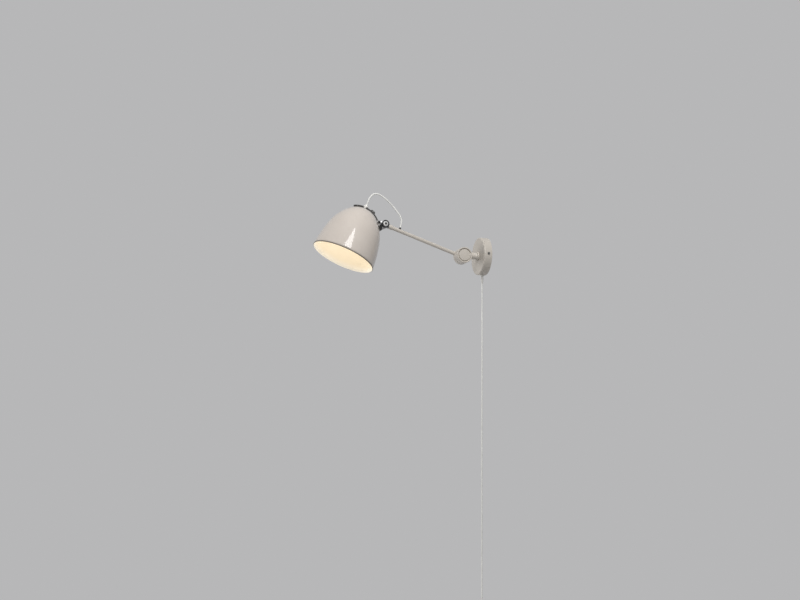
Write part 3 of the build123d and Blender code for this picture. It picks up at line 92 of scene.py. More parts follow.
# frames: wall looks out of the wall, elbow and tilt lie along X,
# arm runs to the head, fork leaves the shade, head runs up the shade's axis
sideways = (1, 0, 0)
armDir = Vector((0, -cosDeg(lamp["armAngle"]), sinDeg(lamp["armAngle"])))
armUp = Vector((0, sinDeg(lamp["armAngle"]), cosDeg(lamp["armAngle"])))
headUp = Vector((0, sinDeg(lamp["shadeLean"]), cosDeg(lamp["shadeLean"])))
headOut = Vector((0, cosDeg(lamp["shadeLean"]), -sinDeg(lamp["shadeLean"])))
elbowPoint = Vector((0, lamp["elbowY"], 0))
armStart = Vector((lamp["armX"], lamp["elbowY"], 0))
pivot = armStart + armDir * lamp["armLength"]
crownHeight = lamp["shadeDepth"] - lamp["crownRadius"]
radiusStep = lamp["crownRadius"] - lamp["shoulderRadius"]
shoulderR = radiusStep * sinDeg(lamp["crownAngle"])
shoulderS = crownHeight + radiusStep * cosDeg(lamp["crownAngle"])
jointReach = lamp["shoulderRadius"] + lamp["jointStandOff"]
jointR = shoulderR + jointReach * sinDeg(lamp["jointAngle"])
jointS = shoulderS + jointReach * cosDeg(lamp["jointAngle"])
rimCentre = pivot - headOut * jointR - headUp * jointS
forkDir = headOut * sinDeg(lamp["jointAngle"]) + headUp * cosDeg(lamp["jointAngle"])
wallFrame = axes((0, 0, 0), sideways, (0, -1, 0))
cordFrame = axes((0, lamp["cordY"], 0), sideways, (0, 0, -1))
elbowFrame = axes(elbowPoint, (0, 1, 0), sideways)
armFrame = axes(armStart, sideways, armDir)
tiltFrame = axes(pivot, (0, 1, 0), sideways)
forkFrame = axes(pivot, sideways, forkDir)
headFrame = axes(rimCentre, sideways, headUp)

# camera, from the photograph
view = {
    "place": (4.5927, -1.7509, -0.9581),
    "right": (0.31400, 0.94939, 0.00794),
    "up": (0.15763, -0.06037, 0.98565),
    "lens": 84.53,
    "sensor": 36.0,
    "farClip": 60.0,
}
cameraData = bpy.data.cameras.new("camera")
cameraData.lens = view["lens"]
cameraData.sensor_width = view["sensor"]
cameraData.clip_end = view["farClip"]
camera = bpy.data.objects.new("camera", cameraData)
right = Vector(view["right"]).normalized()
upward = Vector(view["up"]).normalized()
turn = Matrix((right, upward, right.cross(upward))).transposed().to_4x4()
camera.matrix_world = Matrix.Translation(view["place"]) @ turn
bpy.context.scene.collection.objects.link(camera)
bpy.context.scene.camera = camera
print("camera set")


# mesh helpers
def finishMesh(name, bm, sharp=32.0):
    mesh = bpy.data.meshes.new(name)
    bm.to_mesh(mesh)
    bm.free()
    mesh.shade_smooth()
    mesh.set_sharp_from_angle(angle=math.radians(sharp))
    piece = bpy.data.objects.new(name, mesh)
    bpy.context.scene.collection.objects.link(piece)
    return piece


def roundCorners(bm, verts, radii, segments=4):
    for size in sorted(set(radii)):
        corners = [v for v, r in zip(verts, radii) if r == size and v.is_valid]
        if size > 0:
            bmesh.ops.bevel(bm, geom=corners, offset=size * mm, offset_type="OFFSET",
                            affect="VERTICES", segments=segments, profile=0.5, material=-1,
                            clamp_overlap=True)


def spinRound(bm, steps):
    bmesh.ops.spin(bm, geom=bm.verts[:] + bm.edges[:], cent=(0, 0, 0), axis=(0, 0, 1),
                   angle=math.tau, steps=steps, use_merge=True)
    bmesh.ops.remove_doubles(bm, verts=bm.verts, dist=weldDistance)
    bmesh.ops.recalc_face_normals(bm, faces=bm.faces)


def turned(outline, place, size="medium", closed=False, corner=4):
    # outline holds (radius, height) or (radius, height, corner radius), spun about the frame's z
    bm = bmesh.new()
    verts = [bm.verts.new((p[0] * mm, 0, p[1] * mm)) for p in outline]
    for start, end in zip(verts, verts[1:]):
        bm.edges.new((start, end))
    if closed:
        bm.edges.new((verts[-1], verts[0]))
    roundCorners(bm, verts, [p[2] if len(p) > 2 else 0 for p in outline], corner)
    spinRound(bm, spinSteps[size])
    bm.transform(place)
    return bm


def gather(parts):
    whole = bmesh.new()
    for part in parts:
        mesh = bpy.data.meshes.new("part")
        part.to_mesh(mesh)
        part.free()
        whole.from_mesh(mesh)
        bpy.data.meshes.remove(mesh)
    return whole


def softBlock(size, centre, place, edge, segments=3):
    bm = bmesh.new()
    bmesh.ops.create_cube(bm, size=1.0)
    bmesh.ops.scale(bm, vec=Vector(size) * mm, verts=bm.verts)
    bmesh.ops.translate(bm, vec=Vector(centre) * mm, verts=bm.verts)
    bmesh.ops.bevel(bm, geom=bm.edges[:], offset=edge * mm, affect="EDGES", segments=segments,
                    profile=0.5, material=-1)
    bm.transform(place)
    return bm


def vertsIn(geometry):
    return [g for g in geometry if isinstance(g, bmesh.types.BMVert)]


def arcFrom(bm, vert, centre, axis, angle, steps):  # draws an arc and gives its far end
    made = bmesh.ops.spin(bm, geom=[vert], cent=Vector(centre) * mm, axis=axis,
                          angle=math.radians(angle), steps=steps)
    return vertsIn(made["geom_last"])[0]


def setMaterial(bm, number):
    for face in bm.faces:
        face.material_index = number


def dress(piece, body, coats, slotName, *stands):
    for coat in coats:
        piece.data.materials.append(finish[coat])
    if stands:
        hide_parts(*stands)
    if body:
        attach(piece, body)
    print("made", piece.name)


def dressTurned(name, outline, place, body, slotName, node, size="medium", closed=False, corner=4,
                coat=None):
    piece = finishMesh(name, turned(outline, place, size, closed, corner))
    dress(piece, body, [coat or slotName], slotName, node)


# shader groups that the finishes share
def newGroup(name, inputs, outputs):
    group = bpy.data.node_groups.new(name, "ShaderNodeTree")
    for title, value in inputs:
        socket = group.interface.new_socket(title, in_out="INPUT", socket_type="NodeSocketFloat")
        socket.default_value = value
    for title in outputs:
        group.interface.new_socket(title, in_out="OUTPUT", socket_type="NodeSocketFloat")
    return group, group.nodes.new("NodeGroupInput"), group.nodes.new("NodeGroupOutput")


def noiseNode(tree, vector, detail, rough):
    noise = tree.nodes.new("ShaderNodeTexNoise")
    noise.inputs["Detail"].default_value = detail
    noise.inputs["Roughness"].default_value = rough
    tree.links.new(vector, noise.inputs["Vector"])
    return noise


def mapped(tree, value, low, high, toLow, toHigh):
    ramp = tree.nodes.new("ShaderNodeMapRange")
    for title, number in (("From Min", low), ("From Max", high),
                          ("To Min", toLow), ("To Max", toHigh)):
        ramp.inputs[title].default_value = number
    tree.links.new(value, ramp.inputs["Value"])
    return ramp.outputs["Result"]


def combined(tree, operation, first, second):
    node = tree.nodes.new("ShaderNodeMath")
    node.operation = operation
    tree.links.new(first, node.inputs[0])
    tree.links.new(second, node.inputs[1])
    return node.outputs[0]


def makeGrain():  # fine speckle and broad clouds, in features per metre
    group, source, result = newGroup(
        "surfaceGrain", [("Fine", 900.0), ("Broad", 30.0), ("Stretch", 1.0)], ["Speckle", "Cloud"])
    place = group.nodes.new("ShaderNodeTexCoord")
    squeeze = group.nodes.new("ShaderNodeMapping")
    factor = group.nodes.new("ShaderNodeCombineXYZ")
    factor.inputs["Y"].default_value = 1.0
    factor.inputs["Z"].default_value = 1.0
    group.links.new(source.outputs["Stretch"], factor.inputs["X"])
    group.links.new(place.outputs["Object"], squeeze.inputs["Vector"])
    group.links.new(factor.outputs["Vector"], squeeze.inputs["Scale"])
    fine = noiseNode(group, squeeze.outputs["Vector"], 2.0, 0.5)
    broad = noiseNode(group, place.outputs["Object"], 4.0, 0.55)
    group.links.new(source.outputs["Fine"], fine.inputs["Scale"])
    group.links.new(source.outputs["Broad"], broad.inputs["Scale"])
    speckle = mapped(group, fine.outputs["Fac"], 0.3, 0.7, 0.0, 1.0)
    cloud = mapped(group, broad.outputs["Fac"], 0.32, 0.68, 0.0, 1.0)
    group.links.new(speckle, result.inputs["Speckle"])
    group.links.new(cloud, result.inputs["Cloud"])
    return group


def makeDust():  # a thin settled film on what faces up
    group, source, result = newGroup("settledDust", [("Amount", 0.2)], ["Dust"])
    place = group.nodes.new("ShaderNodeTexCoord")
    split = group.nodes.new("ShaderNodeSeparateXYZ")
    group.links.new(place.outputs["Normal"], split.inputs["Vector"])
    upFacing = mapped(group, split.outputs["Z"], 0.45, 1.0, 0.0, 1.0)
    patch = noiseNode(group, place.outputs["Object"], 5.0, 0.65)
    patch.inputs["Scale"].default_value = 260.0
    patchy = mapped(group, patch.outputs["Fac"], 0.35, 0.75, 0.2, 1.0)
    film = combined(group, "MULTIPLY", upFacing, patchy)
    weighed = combined(group, "MULTIPLY", film, source.outputs["Amount"])
    group.links.new(weighed, result.inputs["Dust"])
    return group


grainGroup = makeGrain()
dustGroup = makeDust()
dustColour = (0.52, 0.50, 0.47)


def mixColour(tree, factor, first, second):
    mix = tree.nodes.new("ShaderNodeMix")
    mix.data_type = "RGBA"
    tree.links.new(factor, mix.inputs["Factor"])
    # sockets 6 and 7 are the two colours, output 2 is their mix
    for socket, colour in ((mix.inputs[6], first), (mix.inputs[7], second)):
        if isinstance(colour, tuple):
            socket.default_value = (*colour, 1.0)
        else:
            tree.links.new(colour, socket)
    return mix.outputs[2]


def makeFinish(name, recipe):
    material = bpy.data.materials.new(name)
    material.use_nodes = True
    tree = material.node_tree
    shader = tree.nodes["Principled BSDF"]
    grain = tree.nodes.new("ShaderNodeGroup")
    grain.node_tree = grainGroup
    grain.inputs["Fine"].default_value = recipe["fine"]
    grain.inputs["Broad"].default_value = recipe["broad"]
    grain.inputs["Stretch"].default_value = recipe.get("stretch", 1.0)
    colour = mixColour(tree, grain.outputs["Cloud"], recipe["tone"], recipe["otherTone"])
    if recipe.get("fleck"):
        flecks = mapped(tree, grain.outputs["Speckle"], 0.55, 1.0, 0.0, recipe["fleckAmount"])
        colour = mixColour(tree, flecks, colour, recipe["fleck"])
    low, high = recipe["rough"]
    rough = mapped(tree, grain.outputs["Speckle"], 0.0, 1.0, low, high)
    if recipe.get("dust"):
        dust = tree.nodes.new("ShaderNodeGroup")
        dust.node_tree = dustGroup
        dust.inputs["Amount"].default_value = recipe["dust"]
        colour = mixColour(tree, dust.outputs["Dust"], colour, dustColour)
        rough = combined(tree, "ADD", rough, dust.outputs["Dust"])
    tree.links.new(colour, shader.inputs["Base Color"])
    tree.links.new(rough, shader.inputs["Roughness"])
    bump = tree.nodes.new("ShaderNodeBump")
    bump.inputs["Strength"].default_value = recipe.get("bumpStrength", 0.4)
    bump.inputs["Distance"].default_value = recipe["bump"] * mm
    tree.links.new(grain.outputs["Speckle"], bump.inputs["Height"])
    tree.links.new(bump.outputs["Normal"], shader.inputs["Normal"])
    for title, number in recipe.get("shader", {}).items():
        shader.inputs[title].default_value = number
    return material


# every finish of the lamp: tones are linear colours, bump in millimetres
finishes = {
    "frame_paint": {
        "tone": (0.560, 0.522, 0.472), "otherTone": (0.542, 0.504, 0.455),
        "fine": 1300.0, "broad": 26.0, "rough": (0.32, 0.38), "bump": 0.010, "dust": 0.10,
        "shader": {"Coat Weight": 0.25, "Coat Roughness": 0.22},
    },
    "shade_paint": {
        "tone": (0.600, 0.548, 0.502), "otherTone": (0.578, 0.526, 0.480),
        "fine": 420.0, "broad": 22.0, "rough": (0.24, 0.29), "bump": 0.006,
        "bumpStrength": 0.2, "dust": 0.06,
        "shader": {"Specular IOR Level": 0.15, "Coat Weight": 1.0, "Coat Roughness": 0.04,
                   "Coat IOR": 1.42},
    },
    "shade_enamel": {
        "tone": (0.76, 0.742, 0.70), "otherTone": (0.73, 0.712, 0.67),
        "fine": 600.0, "broad": 24.0, "rough": (0.42, 0.50), "bump": 0.004, "bumpStrength": 0.2,
        # the emission paints the bulb's light onto the enamel: a painted glow
        "shader": {"Emission Strength": 0.39},
    },
    # painted shade: a dark tone for the shadowed underside of the rolled rim
    "rim_painted_shade": {
        "tone": (0.170, 0.148, 0.120), "otherTone": (0.145, 0.125, 0.100),
        "fine": 800.0, "broad": 60.0, "rough": (0.36, 0.48), "bump": 0.01,
    },
    "strap_metal": {
        "tone": (0.105, 0.100, 0.096), "otherTone": (0.072, 0.069, 0.067),
        "fine": 700.0, "broad": 50.0, "rough": (0.26, 0.40), "bump": 0.02, "dust": 0.10,
        "shader": {"Metallic": 0.85},
    },
    "chrome": {
        "tone": (0.26, 0.26, 0.265), "otherTone": (0.20, 0.20, 0.205),
        "fine": 1400.0, "broad": 60.0, "rough": (0.05, 0.10), "bump": 0.004, "bumpStrength": 0.2,
        "shader": {"Metallic": 1.0},
    },
    "dark_chrome": {
        "tone": (0.085, 0.085, 0.088), "otherTone": (0.060, 0.060, 0.062),
        "fine": 1400.0, "broad": 60.0, "rough": (0.08, 0.16), "bump": 0.004, "bumpStrength": 0.2,
        "shader": {"Metallic": 1.0},
    },
    "satin_zinc": {
        "tone": (0.155, 0.153, 0.150), "otherTone": (0.120, 0.118, 0.116),
        "fine": 1100.0, "broad": 70.0, "rough": (0.36, 0.50), "bump": 0.015,
        "shader": {"Metallic": 0.6},
    },
    "cast_zinc": {
        "tone": (0.44, 0.435, 0.43), "otherTone": (0.36, 0.357, 0.353),
        "fine": 1100.0, "broad": 70.0, "rough": (0.30, 0.42), "bump": 0.015,
        "shader": {"Metallic": 0.7},
    },
    # a pale metal for the knob's boss: a painted highlight
    "knob_highlight_paint": {
        "tone": (0.86, 0.86, 0.85), "otherTone": (0.80, 0.80, 0.79),
        "fine": 1400.0, "broad": 60.0, "rough": (0.12, 0.20), "bump": 0.004, "bumpStrength": 0.2,
        "shader": {"Metallic": 0.55},
    },
    "steel": {
        "tone": (0.56, 0.555, 0.54), "otherTone": (0.44, 0.44, 0.43),
        "fine": 900.0, "broad": 70.0, "stretch": 7.0, "rough": (0.24, 0.42), "bump": 0.02,
        "shader": {"Metallic": 1.0},
    },
    "brass": {
        "tone": (0.72, 0.52, 0.25), "otherTone": (0.60, 0.42, 0.19),
        "fine": 900.0, "broad": 90.0, "rough": (0.22, 0.38), "bump": 0.015,
        "shader": {"Metallic": 1.0},
    },
    "cord": {
        "tone": (0.82, 0.82, 0.80), "otherTone": (0.76, 0.76, 0.74),
        "fine": 1500.0, "broad": 55.0, "rough": (0.42, 0.55), "bump": 0.03,
        "shader": {"Specular IOR Level": 0.4},
    },
    "white_plastic": {
        "tone": (0.80, 0.79, 0.765), "otherTone": (0.76, 0.75, 0.72),
        "fine": 1300.0, "broad": 45.0, "rough": (0.28, 0.38), "bump": 0.02, "dust": 0.08,
    },
    "dark_rubber": {
        "tone": (0.030, 0.030, 0.031), "otherTone": (0.046, 0.045, 0.044),
        "fine": 1600.0, "broad": 90.0, "rough": (0.55, 0.75), "bump": 0.04,
    },
    "holder_plastic": {
        "tone": (0.022, 0.021, 0.020), "otherTone": (0.034, 0.031, 0.029),
        "fine": 1200.0, "broad": 70.0, "rough": (0.22, 0.34), "bump": 0.02,
        "fleck": (0.09, 0.08, 0.07), "fleckAmount": 0.2,
    },
    "bulb_glass": {
        "tone": (0.92, 0.88, 0.80), "otherTone": (0.88, 0.84, 0.76),
        "fine": 900.0, "broad": 30.0, "rough": (0.18, 0.26), "bump": 0.01,
        "shader": {"Emission Color": (1.0, 0.84, 0.62, 1.0), "Emission Strength": 1.3},
    },
}
finish = {name: makeFinish(name, recipe) for name, recipe in finishes.items()}

paintedGlow = {
    "deep": (1.0, 0.80, 0.52),
    "rim": (1.0, 0.93, 0.78),
    "rimBand": (0.002, 0.016),  # metres above the rim, where the painted glow turns from pale to warm
}


def paintGlowOnEnamel():  # painted light: the shade's white inside glows by emission, standing in for the lit bulb's warm light, paler towards the rim
    tree = finish["shade_enamel"].node_tree
    place = tree.nodes.new("ShaderNodeTexCoord")
    along = tree.nodes.new("ShaderNodeVectorMath")
    along.operation = "DOT_PRODUCT"
    along.inputs[1].default_value = headUp
    tree.links.new(place.outputs["Object"], along.inputs[0])
    rimHeight = headUp.dot(rimCentre) * mm
    low, high = paintedGlow["rimBand"]
    share = mapped(tree, along.outputs["Value"], rimHeight + low, rimHeight + high, 0.0, 1.0)
    tree.links.new(mixColour(tree, share, paintedGlow["rim"], paintedGlow["deep"]),
                   tree.nodes["Principled BSDF"].inputs["Emission Color"])


paintGlowOnEnamel()
recessShadeFinish = {"canopy_screws": "satin_zinc"}  # the side screw gets a dark finish: painted shade for the shadow in its recess
slotOf = {sub["node"]: sub["material_slot"] for sub in frame["record"]["subparts"]}
for name, node in nodes.items():
    if not node.material_slots:
        node.data.materials.append(finish[slotOf[name]])
    for place in node.material_slots:
        place.link = "OBJECT"
        place.material = finish[recessShadeFinish.get(name, slotOf[name])]
print("finishes ready:", len(finish))


# cords: routes in millimetres, with the same points as the solids
def routeCurve(name, points, radius, steps=12):
    data = bpy.data.curves.new(name, "CURVE")
    data.dimensions = "3D"
    data.resolution_u = steps
    data.bevel_depth = radius * mm
    data.bevel_resolution = 5
    data.use_fill_caps = True
    spline = data.splines.new("NURBS")
    spline.points.add(len(points) - 1)
    for point, spot in zip(spline.points, points):
        point.co = (*(Vector(spot) * mm), 1.0)
    spline.order_u = 3
    spline.use_endpoint_u = True
    cord = bpy.data.objects.new(name, data)
    bpy.context.scene.collection.objects.link(cord)
    return cord


supply = {
    "top": -44.0,
    "bottom": -919.45,
    "exit": (0, -10.0, -51.45),
    # heights, and how far the hanging line strays along X
    "bow": ((-74.0, 0.0), (-96.0, 0.0), (-190.0, 0.8), (-330.0, 0.6), (-480.0, -0.4),
            (-640.0, -0.5), (-780.0, 0.2), (-880.0, 0.0), (-905.0, 0.0)),
}
supplyPoints = [(0, lamp["cordY"], supply["top"])]
supplyPoints += [(stray, lamp["cordY"], height) for height, stray in supply["bow"]]
supplyPoints += [(0, lamp["cordY"], supply["bottom"])]
supplyCord = routeCurve("supplyCord", supplyPoints, lamp["cordRadius"])
dress(supplyCord, "wall", ["cord"], "cord", "supply_cord")

coil = {
    "leadIn": (-963.45, -972.45, -982.45, -989.95),  # heights of the straight run to the turns
    "centre": -993.45,
    "leadOut": (-996.95, -1007.45, -1017.45, -1027.45),
    "radii": (30.0, 27.65, 25.3, 22.95, 20.6, 18.25, 20.6, 22.95, 25.3, 27.65),
    "climbTurn": 5,
    "climb": 4.7,
    "pointsPerHalf": 8,
    "steps": 6,
    "swell": 1.0195,  # the line runs inside its control points by this much
}
coilPoints = [(0, lamp["cordY"], height) for height in coil["leadIn"]]
edgeX = 0.0
depthY = lamp["cordY"]
for half, radius in enumerate(coil["radii"]):
    side = -1 if half % 2 == 0 else 1  # even halves pass under the centre
    middle = edgeX + side * radius
    for step in range(coil["pointsPerHalf"]):
        share = (step + 0.5) / coil["pointsPerHalf"]
        lift = coil["climb"] * share if half == coil["climbTurn"] else 0.0
        spoke = radius * coil["swell"]
        angle = math.pi * share
        coilPoints.append((middle - side * spoke * math.cos(angle), depthY - lift,
                           coil["centre"] + side * spoke * math.sin(angle)))
    edgeX += 2 * side * radius
    if half == coil["climbTurn"]:
        depthY -= coil["climb"]
coilPoints += [(edgeX, depthY, height) for height in coil["leadOut"]]
coilCord = routeCurve("coilCord", coilPoints, lamp["cordRadius"], coil["steps"])
dress(coilCord, "wall", ["cord"], "cord", "cord_coil")

loop = {
    "points": ((-328.81, 115.97), (-325.74, 122.92), (-322.8, 134.0), (-314.0, 147.0),
               (-303.5, 152.8), (-289.0, 149.5), (-267.0, 134.0), (-248.0, 113.5),
               (-232.5, 95.0), (-230.0, 78.35), (-236.81, 57.43)),
    "headEnd": (-327.0, 120.0),
    "armEnd": (-242.0, 105.0),
}
# the bare route's line mesh is made and then removed, the thick route gives the cord's mesh
loopRoute = routeCurve("loopRoute", [(lamp["armX"], y, z) for y, z in loop["points"]], 0.0)
loopRoute.data.use_fill_caps = False
depsgraph = bpy.context.evaluated_depsgraph_get()
lineMesh = bpy.data.meshes.new_from_object(loopRoute.evaluated_get(depsgraph))
loopRoute.data.bevel_depth = lamp["cordRadius"] * mm
loopRoute.data.use_fill_caps = True
depsgraph = bpy.context.evaluated_depsgraph_get()
loopMesh = bpy.data.meshes.new_from_object(loopRoute.evaluated_get(depsgraph))
loopMesh.name = "loopCord"
loopMesh.shade_smooth()
bpy.data.objects.remove(loopRoute)
bpy.data.meshes.remove(lineMesh)
loopCord = bpy.data.objects.new("loopCord", loopMesh)
bpy.context.scene.collection.objects.link(loopCord)
loopMesh.materials.clear()
dress(loopCord, None, ["cord"], "cord", "loop_cord")
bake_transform(loopCord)

# wall and elbow
gland = {
    "outline": ((2.1, 45.5), (4.0, 45.5), (4.0, 50.05), (5.2, 50.05, 0.3), (5.2, 51.45, 0.5),
                (4.1, 51.45, 0.3), (3.9, 53.0), (2.7, 71.45, 0.4), (2.1, 71.45)),
}
dressTurned("cordGland", gland["outline"], cordFrame, "wall", "white_plastic", "cord_gland",
            "small", True)

nearHalf = {
    "disc": ((0, 5.8), (17.9, 5.8, 0.3), (17.9, 9.0, 0.35), (21.0, 9.0, 0.9), (21.0, -9.0, 0.4),
             (0, -9.0)),
    "neck": ((0, 22.1), (12.0, 22.1, 0.3), (12.0, 26.1, 0.8), (10.6, 26.1), (9.3, 26.55),
             (8.8, 27.8), (8.8, 48.0), (0, 48.0)),
    "capOutline": ((0, 5.8), (15.6, 5.8), (15.6, 8.4, 0.9), (0, 8.4)),
}
nearParts = [turned(nearHalf["disc"], elbowFrame, "large"), turned(nearHalf["neck"], wallFrame)]
nearPiece = finishMesh("elbowNear", gather(nearParts))
dress(nearPiece, "neck", ["frame_paint"], "frame_paint", "neck_knuckle")
dressTurned("elbowNearCap", nearHalf["capOutline"], elbowFrame, "neck", "frame_paint",
            "neck_face_cap", "large")

farHalf = {
    "disc": ((0, -9.85), (21.0, -9.85, 0.4), (21.0, -23.85, 0.9), (17.9, -23.85, 0.35),
             (17.9, -22.05, 0.3), (0, -22.05)),
    "capOutline": ((0, -22.05), (15.6, -22.05), (15.6, -23.45, 0.8), (0, -23.45)),
    "tube": ((4.0, 11.5), (5.0, 11.5), (5.0, 213.0), (4.0, 213.0)),
}
dressTurned("elbowFar", farHalf["disc"], elbowFrame, "arm", "frame_paint", "arm_knuckle", "large")
dressTurned("elbowFarCap", farHalf["capOutline"], elbowFrame, "arm", "frame_paint",
            "arm_face_cap", "large")
dressTurned("armTube", farHalf["tube"], armFrame, "arm", "frame_paint", "arm_tube", "small", True)

grommet = {
    "fromElbow": 184.0,
    "outline": ((2.1, 2.9), (3.5, 2.9), (3.5, 6.0, 0.5), (2.9, 6.2, 0.3), (2.5, 9.0, 0.3),
                (2.1, 9.0)),
}
grommetFrame = axes(armStart + armDir * grommet["fromElbow"], sideways, armUp)
dressTurned("armGrommet", grommet["outline"], grommetFrame, "arm", "dark_rubber", "arm_grommet",
            "tiny", True)

eye = {
    "disc": ((0, -4.0), (10.5, -4.0, 0.7), (10.5, 4.0, 0.7), (0, 4.0)),
    "shank": (8.0, 11.0, 15.0),
    "shankMiddle": 220.5,
    "shankEdge": 0.7,
    "socket": ((5.05, 205.0), (6.2, 205.0, 0.5), (6.2, 215.0, 0.8), (0, 215.0)),
}
eyeDisc = turned(eye["disc"], tiltFrame)
eyeShank = softBlock(eye["shank"], (0, 0, eye["shankMiddle"]), armFrame, eye["shankEdge"])
eyeSocket = turned(eye["socket"], armFrame, "small")
setMaterial(eyeSocket, 1)  # painted with the tube
eyePiece = finishMesh("armEye", gather([eyeDisc, eyeShank, eyeSocket]))
dress(eyePiece, "arm", ["chrome", "frame_paint"], "chrome", "arm_eye")

# head: fork, knob and nuts
fork = {
    "flange": ((0, -15.15), (13.5, -15.15, 0.6), (13.5, -11.35, 0.9), (0, -11.35)),
    "cheekInner": 4.7,
    "cheekOuter": 8.5,
    "cheekRadius": 10.5,
    "cheekFoot": -12.1,
    "cheekSteps": 32,
    "edge": 0.6,
    "sharpAngle": 50.0,
}


def forkCheek(side):
    bm = bmesh.new()
    radius = fork["cheekRadius"] * mm
    first = bm.verts.new((0, radius, 0))
    last = arcFrom(bm, first, (0, 0, 0), sideways, 180, fork["cheekSteps"])
    feet = [bm.verts.new((0, y, fork["cheekFoot"] * mm)) for y in (-radius, radius)]
    for pair in ((last, feet[0]), (feet[0], feet[1]), (feet[1], first)):
        bm.edges.new(pair)
    face = bmesh.ops.contextual_create(bm, geom=bm.edges[:])["faces"]
    lifted = bmesh.ops.extrude_face_region(bm, geom=face)["geom"]
    width = (fork["cheekOuter"] - fork["cheekInner"]) * mm
    bmesh.ops.translate(bm, vec=(width, 0, 0), verts=vertsIn(lifted))
    bmesh.ops.translate(bm, vec=(fork["cheekInner"] * mm, 0, 0), verts=bm.verts)
    if side < 0:
        bmesh.ops.scale(bm, vec=(-1, 1, 1), verts=bm.verts)
    bmesh.ops.recalc_face_normals(bm, faces=bm.faces)
    rims = [e for e in bm.edges if e.calc_face_angle(0) > math.radians(fork["sharpAngle"])]
    bmesh.ops.bevel(bm, geom=rims, offset=fork["edge"] * mm, affect="EDGES", segments=3,
                    profile=0.5, material=-1)
    bm.transform(forkFrame)
    return bm


forkFlange = turned(fork["flange"], forkFrame)
setMaterial(forkFlange, 1)
forkPiece = finishMesh("headFork", gather([forkFlange, forkCheek(1), forkCheek(-1)]))
dress(forkPiece, "head", ["cast_zinc", "dark_chrome"], "chrome", "head_fork")

knob = {
    "ring": ((7.0, 8.55), (10.5, 8.55, 0.5), (10.5, 13.15, 0.9), (7.0, 13.15, 0.4)),
    "boss": ((0, 8.55), (6.9, 8.55), (6.9, 14.6, 1.4), (3.1, 16.35, 0.3), (3.1, 15.0), (0, 15.0)),
    "button": ((0, 14.9), (3.05, 14.9), (3.05, 15.9, 0.4), (0, 15.9)),
    "pin": ((0, -11.0), (2.5, -11.0), (2.5, 8.6), (0, 8.6)),
}
# painted reflection: the dark ring, the bright boss and the black button stand in for the dark and
# bright reflections of one chrome knob
knobRing = turned(knob["ring"], tiltFrame, closed=True)
knobButton = turned(knob["button"], tiltFrame, "tiny")
setMaterial(knobRing, 1)
setMaterial(knobButton, 2)
knobParts = [knobRing, turned(knob["boss"], tiltFrame, corner=6), knobButton,
             turned(knob["pin"], tiltFrame, "pin")]
knobPaintedReflectionCoats = ["knob_highlight_paint", "dark_chrome", "holder_plastic"]
dress(finishMesh("tiltKnob", gather(knobParts)), "head", knobPaintedReflectionCoats, "chrome", "tilt_knob")

sideNut = {"outline": ((0, -8.55), (7.0, -8.55, 0.3), (7.0, -13.55, 1.3), (0, -13.55))}
dressTurned("tiltNut", sideNut["outline"], tiltFrame, "head", "chrome", "tilt_nut", "small")

# shade: crown, shoulder and flank arcs spun about its axis, walled inwards
shade = {
    "hole": 5.05,
    "wall": 1.0,
    "bead": 1.3,
    "beadSegments": 14,
    "spins": 160,
    "arcSteps": (16, 18, 14),  # crown, shoulder and flank
}
arcEnd = lamp["crownAngle"] + lamp["shoulderAngle"]
flankTop = Vector((shoulderR + lamp["shoulderRadius"] * sinDeg(arcEnd),
                   shoulderS + lamp["shoulderRadius"] * cosDeg(arcEnd)))
flankRun = Vector((lamp["shadeRadius"] - flankTop.x, flankTop.y))
flankTurn = math.degrees(math.atan2(flankRun.y, flankRun.x)) - arcEnd
flankRadius = flankRun.length / (2 * sinDeg(flankTurn))
flankCentre = flankTop - Vector((sinDeg(arcEnd), cosDeg(arcEnd))) * flankRadius
rimTurn = arcEnd + 2 * flankTurn


def spinShade():
    bm = bmesh.new()
    crown = lamp["crownRadius"]
    start = math.degrees(math.asin(shade["hole"] / crown))
    vert = bm.verts.new((crown * sinDeg(start) * mm, 0,
                         (crownHeight + crown * cosDeg(start)) * mm))
    arcs = (((0, 0, crownHeight), lamp["crownAngle"] - start),
            ((shoulderR, 0, shoulderS), lamp["shoulderAngle"]),
            ((flankCentre.x, 0, flankCentre.y), 2 * flankTurn))
    for (centre, angle), steps in zip(arcs, shade["arcSteps"]):
        vert = arcFrom(bm, vert, centre, (0, 1, 0), angle, steps)
    spinRound(bm, shade["spins"])
    bm.transform(headFrame)
    return bm


shell = finishMesh("shadeShell", spinShade(), sharp=40.0)
wall = shell.modifiers.new("wall", "SOLIDIFY")
wall.thickness = shade["wall"] * mm
wall.offset = -1.0
wall.use_even_offset = True
wall.material_offset = 1
wall.material_offset_rim = 1
dress(shell, "head", ["shade_paint", "shade_enamel"], "shade_paint", "shade")

beadR = lamp["shadeRadius"] - shade["wall"] / 2 * sinDeg(rimTurn)
beadS = -shade["wall"] / 2 * cosDeg(rimTurn)
bead = bmesh.new()
bmesh.ops.create_circle(bead, cap_ends=False, radius=shade["bead"] * mm,
                        segments=shade["beadSegments"])
upright = Matrix.Rotation(math.pi / 2, 3, "X")
bmesh.ops.rotate(bead, cent=(0, 0, 0), matrix=upright, verts=bead.verts)
bmesh.ops.translate(bead, vec=(beadR * mm, 0, beadS * mm), verts=bead.verts)
spinRound(bead, shade["spins"])
for face in bead.faces:  # the inner half carries the enamel, the outer half a dark paint that stands in for the shade under the rolled rim
    spot = face.calc_center_median()
    face.material_index = 1 if math.hypot(spot.x, spot.y) < beadR * mm else 0
bead.transform(headFrame)
rimPiece = finishMesh("shadeRim", bead, sharp=60.0)
dress(rimPiece, "head", ["rim_painted_shade", "shade_enamel"], "shade_paint")

